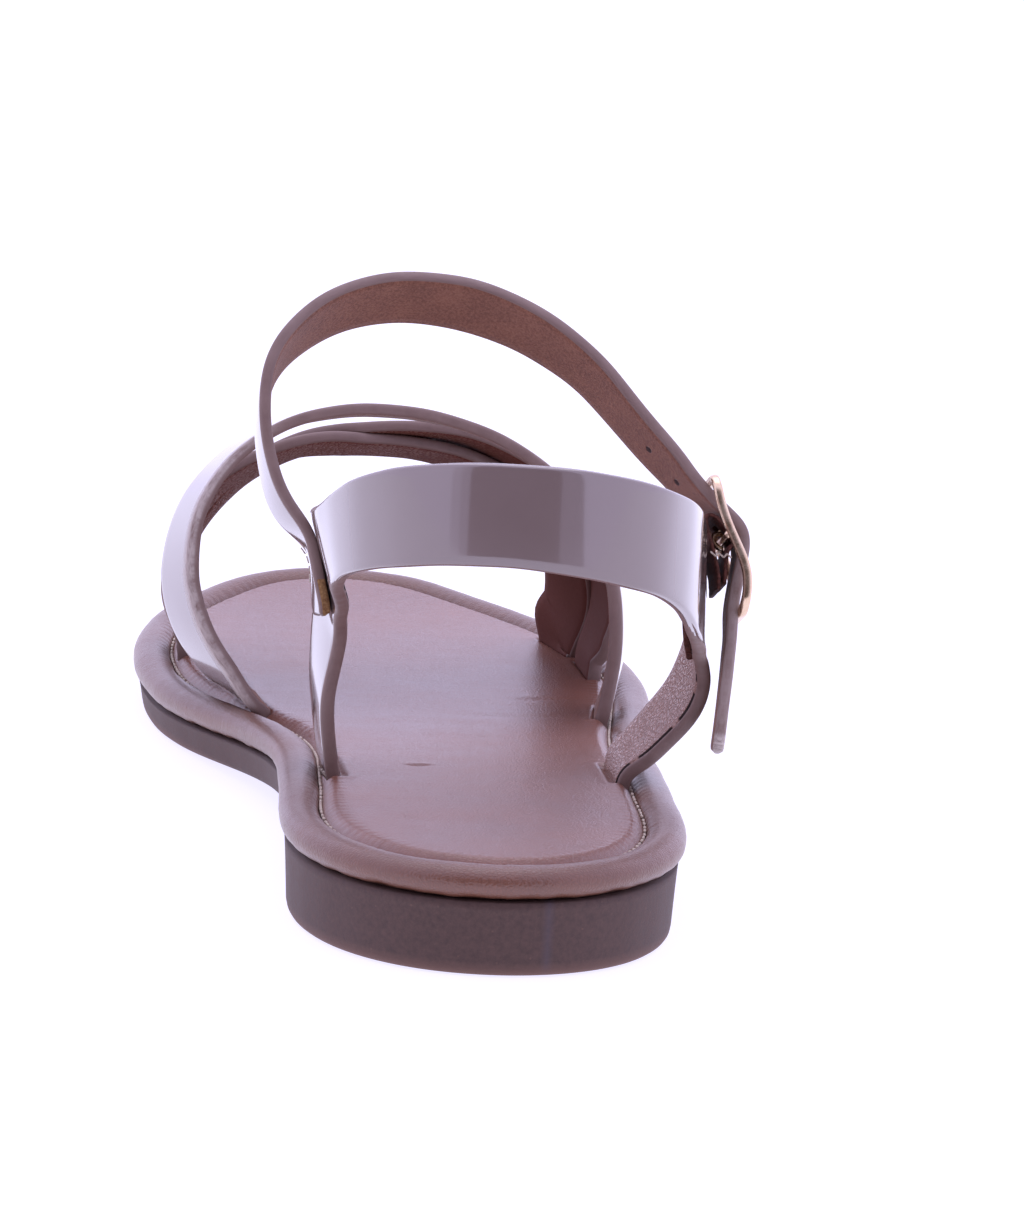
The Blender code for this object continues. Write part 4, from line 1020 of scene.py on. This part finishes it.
def ribbonMesh(centre, outward, across, halfWidths, thick):  # flat ribbon with softly rounded edges
    turn = np.linspace(0.0, 2.0 * np.pi, 41)[:-1]
    c, s = bulged(np.cos(turn), 0.35), bulged(np.sin(turn), 0.45) * 0.5 * thick
    verts = centre[:, None] + across[:, None] * (c[None, :, None] * halfWidths[:, None, None])
    verts = verts + outward[:, None] * s[None, :, None]
    return verts.reshape(-1, 3), sweptFaces(len(centre), len(turn))


def makeTab():  # its two layers are pressed to the leg, and a slit lets the prong through
    columns = np.array([bucklePoint(d, o, 0.0) for d, o in tab["fold"]])
    knots = chordKnots(columns)
    points = splineThrough(knots, columns, np.linspace(0.0, knots[-1], 90))
    across = np.tile(buckleAcross, (len(points), 1))
    half = tab["width"] * 0.5 + 0.30 * ripple(chordKnots(points), (3.1, 1.9, 1.3, 0.9), 61)
    ribbon = ribbonMesh(points, faceWays(points, across)[1], across, half, tab["thick"])
    piece = makePiece("buckle_tab_leather", *ribbon, [tabLeather], "tab_leather", ("buckle_tab",))
    notch, bar = tab["slit"] * 0.5, buckle["barDown"]
    corners = ((bar - 2.6, -notch), (bar + 2.2, -notch), (bar + 2.2, notch), (bar - 2.6, notch))
    cutAway(piece, [bucklePoint(d, o, a) for o in (-1.9, 4.0) for d, a in corners], sweptFaces(2, 4))


def makeTabStitches():
    marks = [bucklePoint(d, o, -0.5 * tab["width"] - 0.25) for d, o in tab["zigzag"]]
    parts = [tubeMesh(np.linspace(*ends, 6), 0.15, 7, buckleDown) for ends in zip(marks, marks[1:])]
    makePiece("buckle_tab_stitches", *joinMeshes(parts), [creamThread], "tab_leather")


def makeTabEnd():
    path = heelPath(0.4)
    path = path[(path[:, 0] > 30.0) & (path[:, 1] > 55.0)]
    path = path[(path[:, 2] > tab["endHeights"][0]) & (path[:, 2] < tab["endHeights"][1])]
    across = unit(path[:, 3:])
    outward = faceWays(path[:, :3], across)[1]
    centre = path[:, :3] - path[:, 3:] * 0.20 - outward * (heelStrap["thick"] * 0.5 + 0.75)
    half = 2.3 + 0.35 * ripple(chordKnots(path[:, :3]), (2.3, 1.4, 0.9), 63)
    makePiece("buckle_tab_end", *ribbonMesh(centre, outward, across, half, 1.2), [tabLeather], "tab_leather")


makeBuckle()
makeProng()
makeTab()
makeTabStitches()
makeTabEnd()
print("buckle, prong and tab made")

# footbed: a gathered roll round the rim, a stitched groove, and a padded top with the straps' slots in it
footbed = {
    "thick": 5.3, "gap": 0.3, "rollWidth": 6.3, "groove": 3.45,
    "padEdge": 2.4, "padFlat": 11.0, "columns": 64,
    "gatherPitch": 2.35, "gatherJitter": 0.28, "rollGather": 0.26, "padGather": 0.19, "outerFold": 0.022,
    "slotClear": 0.05, "slotDepth": 0.7, "lip": 0.12,
    "creases": (  # middle x, y, half length, half width, depth, slant
        (-5.4, 73.8, 1.9, 0.8, 0.22, 0.05), (-7.0, 88.0, 10.0, 4.0, 0.05, 0.10),
        (12.0, 106.0, 14.0, 3.4, 0.05, 0.06), (6.0, 120.0, 16.0, 3.4, 0.04, -0.06),
        (16.0, 131.0, 9.0, 2.4, 0.07, 0.04), (22.0, 150.0, 5.0, 1.6, 0.12, 0.2),
        (-8.0, 171.0, 18.0, 3.6, 0.04, 0.06), (14.0, 60.0, 8.0, 3.4, 0.05, 0.25),
        (-4.0, 32.0, 12.0, 3.4, 0.04, 0.08)),
    "stitchLength": 1.45, "stitchRadius": 0.27, "stitchSunk": 0.14, "stitchInset": 6.42, "stitchHeight": 3.75,
}


def gatherWave(run, total):  # 0 in the pinched valleys and 1 on the ridges between the stitches
    draw = np.random.RandomState(72)
    count = int(total / footbed["gatherPitch"])
    steps = 1.0 + footbed["gatherJitter"] * draw.uniform(-1.0, 1.0, count)
    places = np.concatenate([[0.0], np.cumsum(steps)])
    places *= total / places[-1]
    size = np.append(draw.uniform(0.65, 1.1, count), 0.9)
    index = np.interp(run, places, np.arange(count + 1))
    share = index - np.floor(index)
    return np.sin(np.pi * share) ** 0.75 * size[np.floor(index).astype(int)], places


gather, gatherPlaces = gatherWave(rim["run"], rim["total"])
rimY = rim["line"][:, 1]
calm = 0.55 + 0.45 * smooth(rimY, 6.0, 26.0) - 0.6 * smooth(rimY, 195.0, 225.0)  # less round the heel and toe
gather = 0.72 + (gather - 0.72) * calm


def makeRoll():
    wide, high = footbed["rollWidth"] * 0.5, (footbed["thick"] - footbed["gap"]) * 0.5
    bulge = ripple(rim["run"], (4.1, 6.7, 11.3), 73)
    lower = ripple(rim["run"], (5.2, 8.7, 14.0), 74)
    slow = ripple(rim["run"], (60.0, 33.0, 21.0), 75)
    loops = []
    for angle in np.concatenate([np.linspace(-74.0, 60.0, 20), np.linspace(66.0, 164.0, 18)]):
        a = math.radians(angle)
        swell = footbed["rollGather"] * float(smooth(angle, 92.0, 140.0)) * (gather - 0.75)
        swell = swell + footbed["outerFold"] * float(window(angle, -60.0, -10.0, 60.0, 105.0)) * bulge
        swell = swell + 0.10 * slow
        drop = 0.16 * lower * float(1.0 - smooth(angle, -60.0, -15.0))
        loops.append(seatLoop(rim, wide - (wide + swell) * math.cos(a),
                              footbed["gap"] + high + (high + swell) * math.sin(a) + drop))
    back = footbed["rollWidth"] - 0.05
    for inset, rise in ((back, 1.2), (back, footbed["gap"]), (2.6, footbed["gap"])):
        loops.append(seatLoop(rim, inset, rise))
    makePiece("footbed_roll", np.vstack(loops), gridFaces(len(loops), rim["count"], True), [rollLeather],
              "footbed_leather", ("footbed",))


def slotDistance(points):  # signed distance to the nearest strap slot
    best = np.full(len(points), 99.0)
    for centre, way, halfWidth, halfThick in slots:
        side = np.array([-way[1], way[0]])
        away = points[:, :2] - centre
        u = np.abs(away @ way) - halfWidth - footbed["slotClear"]
        v = np.abs(away @ side) - halfThick - footbed["slotClear"]
        outside = np.hypot(np.maximum(u, 0.0), np.maximum(v, 0.0))
        best = np.minimum(best, outside + np.minimum(np.maximum(u, v), 0.0))
    return best


def padRelief(points):  # creases, fine ripples and slot pockets on the padded top
    x, y = points[:, 0], points[:, 1]
    relief = 0.022 * ripple(y + 3.0 * np.sin(x / 13.0), (9.3, 6.1, 14.7), 76)
    relief = relief * (0.6 + 0.4 * ripple(x, (31.0, 47.0), 77))
    for cx, cy, halfLong, halfWide, depth, slant in footbed["creases"]:
        u = (x - cx) / halfLong
        v = (y - cy - slant * (x - cx)) / halfWide
        relief = relief - depth * np.exp(-u ** 4 - v ** 2)
        relief = relief + 0.45 * depth * np.exp(-u ** 4 - ((v - 1.9) / 1.3) ** 2)  # soft ridge beside it
    gap = slotDistance(points)
    relief = relief + footbed["lip"] * np.exp(-((gap - 0.9) / 0.9) ** 2)
    return relief - footbed["slotDepth"] * (1.0 - smooth(gap, -0.6, 0.5))


def makePad():
    count = rim["count"]
    groove, rise, flatTo = footbed["groove"], footbed["thick"] - footbed["groove"], footbed["padFlat"]
    loops = [seatLoop(rim, footbed["rollWidth"] + 0.12, low) for low in (footbed["gap"], groove - 0.6)]
    start = footbed["rollWidth"] + 0.18
    for share in np.linspace(0.0, 1.0, 9):  # rounded edge, up from the groove
        swell = footbed["padGather"] * math.sin(math.pi * min(1.0, share * 1.25) * 0.5) * (gather - 0.7)
        loops.append(seatLoop(rim, start + footbed["padEdge"] * share,
                              groove + rise * math.sin(share * math.pi * 0.5) + swell))
    flatFrom = start + footbed["padEdge"]
    for inset in np.linspace(flatFrom, flatTo, 9)[1:]:  # puckers dying away on the flat
        fade = 1.0 - float(smooth(inset, flatFrom, flatTo))
        loops.append(seatLoop(rim, inset, footbed["thick"] + footbed["padGather"] * fade * (gather - 0.7)))
    field = fillField(loops[-1], footbed["columns"])
    faces = shellFaces(len(loops), count, len(field), footbed["columns"])
    field = field.reshape(-1, 3)
    field[:, 2] = seatHeight(field[:, 1]) + footbed["thick"]
    top = np.vstack(loops[4:] + [field])
    blend = [np.full(count, float(smooth(i, 0.0, 5.0))) for i in range(1, len(loops) - 3)]
    top[:, 2] += padRelief(top) * np.concatenate(blend + [np.ones(len(field))])
    pad = makePiece("footbed_pad", np.vstack(loops[:4] + [top]), faces, [footbedLeather], "footbed_leather",
                    ("footbed",))


def makeGrooveStitches():  # thread stitches in the pinched valleys, their ends pulled down
    line = seatLoop(rim, footbed["stitchInset"], footbed["stitchHeight"])
    closed = np.vstack([line, line[:1]])
    run = np.append(rim["run"], rim["total"])
    up = np.array([0.0, 0.0, 1.0])
    half = footbed["stitchLength"] * 0.5
    t = np.linspace(0.0, 1.0, 7)
    arch = up * (footbed["stitchSunk"] * (np.sin(np.pi * t) - 0.6))[:, None]
    radius = footbed["stitchRadius"] * (0.55 + 0.45 * np.sin(np.pi * t) ** 0.5)
    parts = []
    for place in gatherPlaces[:-1]:
        first, second = (np.array([np.interp(p % rim["total"], run, closed[:, c]) for c in range(3)])
                         for p in (place - half, place + half))
        parts.append(tubeMesh(first + (second - first) * t[:, None] + arch, radius, 7, up))
    makePiece("footbed_stitches", *joinMeshes(parts), [creamThread], "footbed_leather")


makeRoll()
makePad()
makeGrooveStitches()
print("footbed made with", len(gatherPlaces) - 1, "stitches")

# floor, light and camera
studio = {"floor": ((0.28, 0.28, 0.28, 1.0), (0.30, 0.30, 0.30, 1.0)), "floorHalf": 6.0, "floorZ": -0.0002,
          "glow": (0.84, 0.82, 1.05, 1.0), "wrap": (1.14, 1.08, 1.50, 1.0), "front": (0.10, 0.09, 0.11, 1.0),
          "leftSteps": ((40.0, 0.50), (47.0, 0.20), (54.0, 0.30)), "rightSteps": ((21.0, 0.33), (36.0, 0.67)),
          "ceiling": (0.60, 0.86), "panel": (0.0, 0.25, 1.0), "panelAim": (0.0, 0.02, 0.0)}
view = {"focal": 8460.85, "place": (-126.9, -1210.7, 303.4), "yaw": 5.996, "pitch": 11.495, "roll": 2.822,
        "sensor": 36.0, "pixels": 1222.0}


def stand(thing, side, up, back, place):  # set an object's directions and place
    rows = [(side[i], up[i], back[i], place[i]) for i in range(3)]
    thing.matrix_world = Matrix(rows + [(0.0, 0.0, 0.0, 1.0)])


def makeFloor():
    mesh = bpy.data.meshes.new("studio_floor")
    half = studio["floorHalf"]
    corners = ((-half, -half), (half, -half), (half, half), (-half, half))
    mesh.from_pydata([(x, y, studio["floorZ"]) for x, y in corners], [], [(0, 1, 2, 3)])
    material, tree, shader = newMaterial("paleFloor", Roughness=0.9, IOR=1.2, Emission_Color=studio["glow"],
                                         Emission_Strength=1.0)
    tones = blendColor(tree, noiseValue(tree, objectPlace(tree), 3.0), *studio["floor"])
    tree.links.new(tones, shader.inputs["Base Color"])
    mesh.materials.append(material)
    floor = addObject("studio_floor", mesh)


def makeWorld():  # cool white wrapped round the back and sides, with a dim gap on the camera's side
    world = bpy.data.worlds.new("studioSky")
    bpy.context.scene.world = world
    world.use_nodes = True
    tree = world.node_tree
    parts = splitXYZ(tree, addNode(tree, "ShaderNodeTexCoord").outputs["Generated"])
    turn = maths(tree, "ARCTAN2", parts["X"], times(tree, parts["Y"], -1.0))
    left = times(tree, turn, -1.0)
    share = remap(tree, parts["Z"], *studio["ceiling"])
    for angle, steps in ((left, studio["leftSteps"]), (turn, studio["rightSteps"])):
        for start, amount in steps:
            edge = remap(tree, angle, math.radians(start - 0.8), math.radians(start + 0.8), 0.0, amount)
            share = plus(tree, share, edge, True)
    sky = blendColor(tree, share, studio["front"], studio["wrap"])
    tree.links.new(sky, tree.nodes["Background"].inputs["Color"])


def makePanel():
    light = bpy.data.lights.new("overhead", "AREA")
    light.shape = "RECTANGLE"
    light.size, light.size_y = 0.8, 0.8
    light.energy = 2.0
    light.color = (1.0, 0.98, 1.0)
    back = unit(np.array(studio["panel"]) - np.array(studio["panelAim"]))
    side = unit(np.cross((0.0, 0.0, 1.0), back))
    stand(addObject("overhead", light), side, np.cross(back, side), back, studio["panel"])


def makeCamera():
    yaw, pitch, roll = (math.radians(view[key]) for key in ("yaw", "pitch", "roll"))
    ahead = np.array([math.sin(yaw) * math.cos(pitch), math.cos(yaw) * math.cos(pitch), -math.sin(pitch)])
    right = np.array([math.cos(yaw), -math.sin(yaw), 0.0])
    up = np.cross(right, ahead)
    side = math.cos(roll) * right + math.sin(roll) * up
    top = -math.sin(roll) * right + math.cos(roll) * up
    data = bpy.data.cameras.new("photoView")
    data.sensor_width = view["sensor"]
    data.lens = view["focal"] * view["sensor"] / view["pixels"]
    data.clip_end = 100.0
    camera = addObject("photoView", data)
    stand(camera, side, top, -ahead, (np.array(view["place"]) + shift) * mm)
    bpy.context.scene.camera = camera


makeFloor()
makeWorld()
makePanel()
makeCamera()
bpy.context.scene.view_settings.view_transform = "Standard"
print("floor, light and camera set")
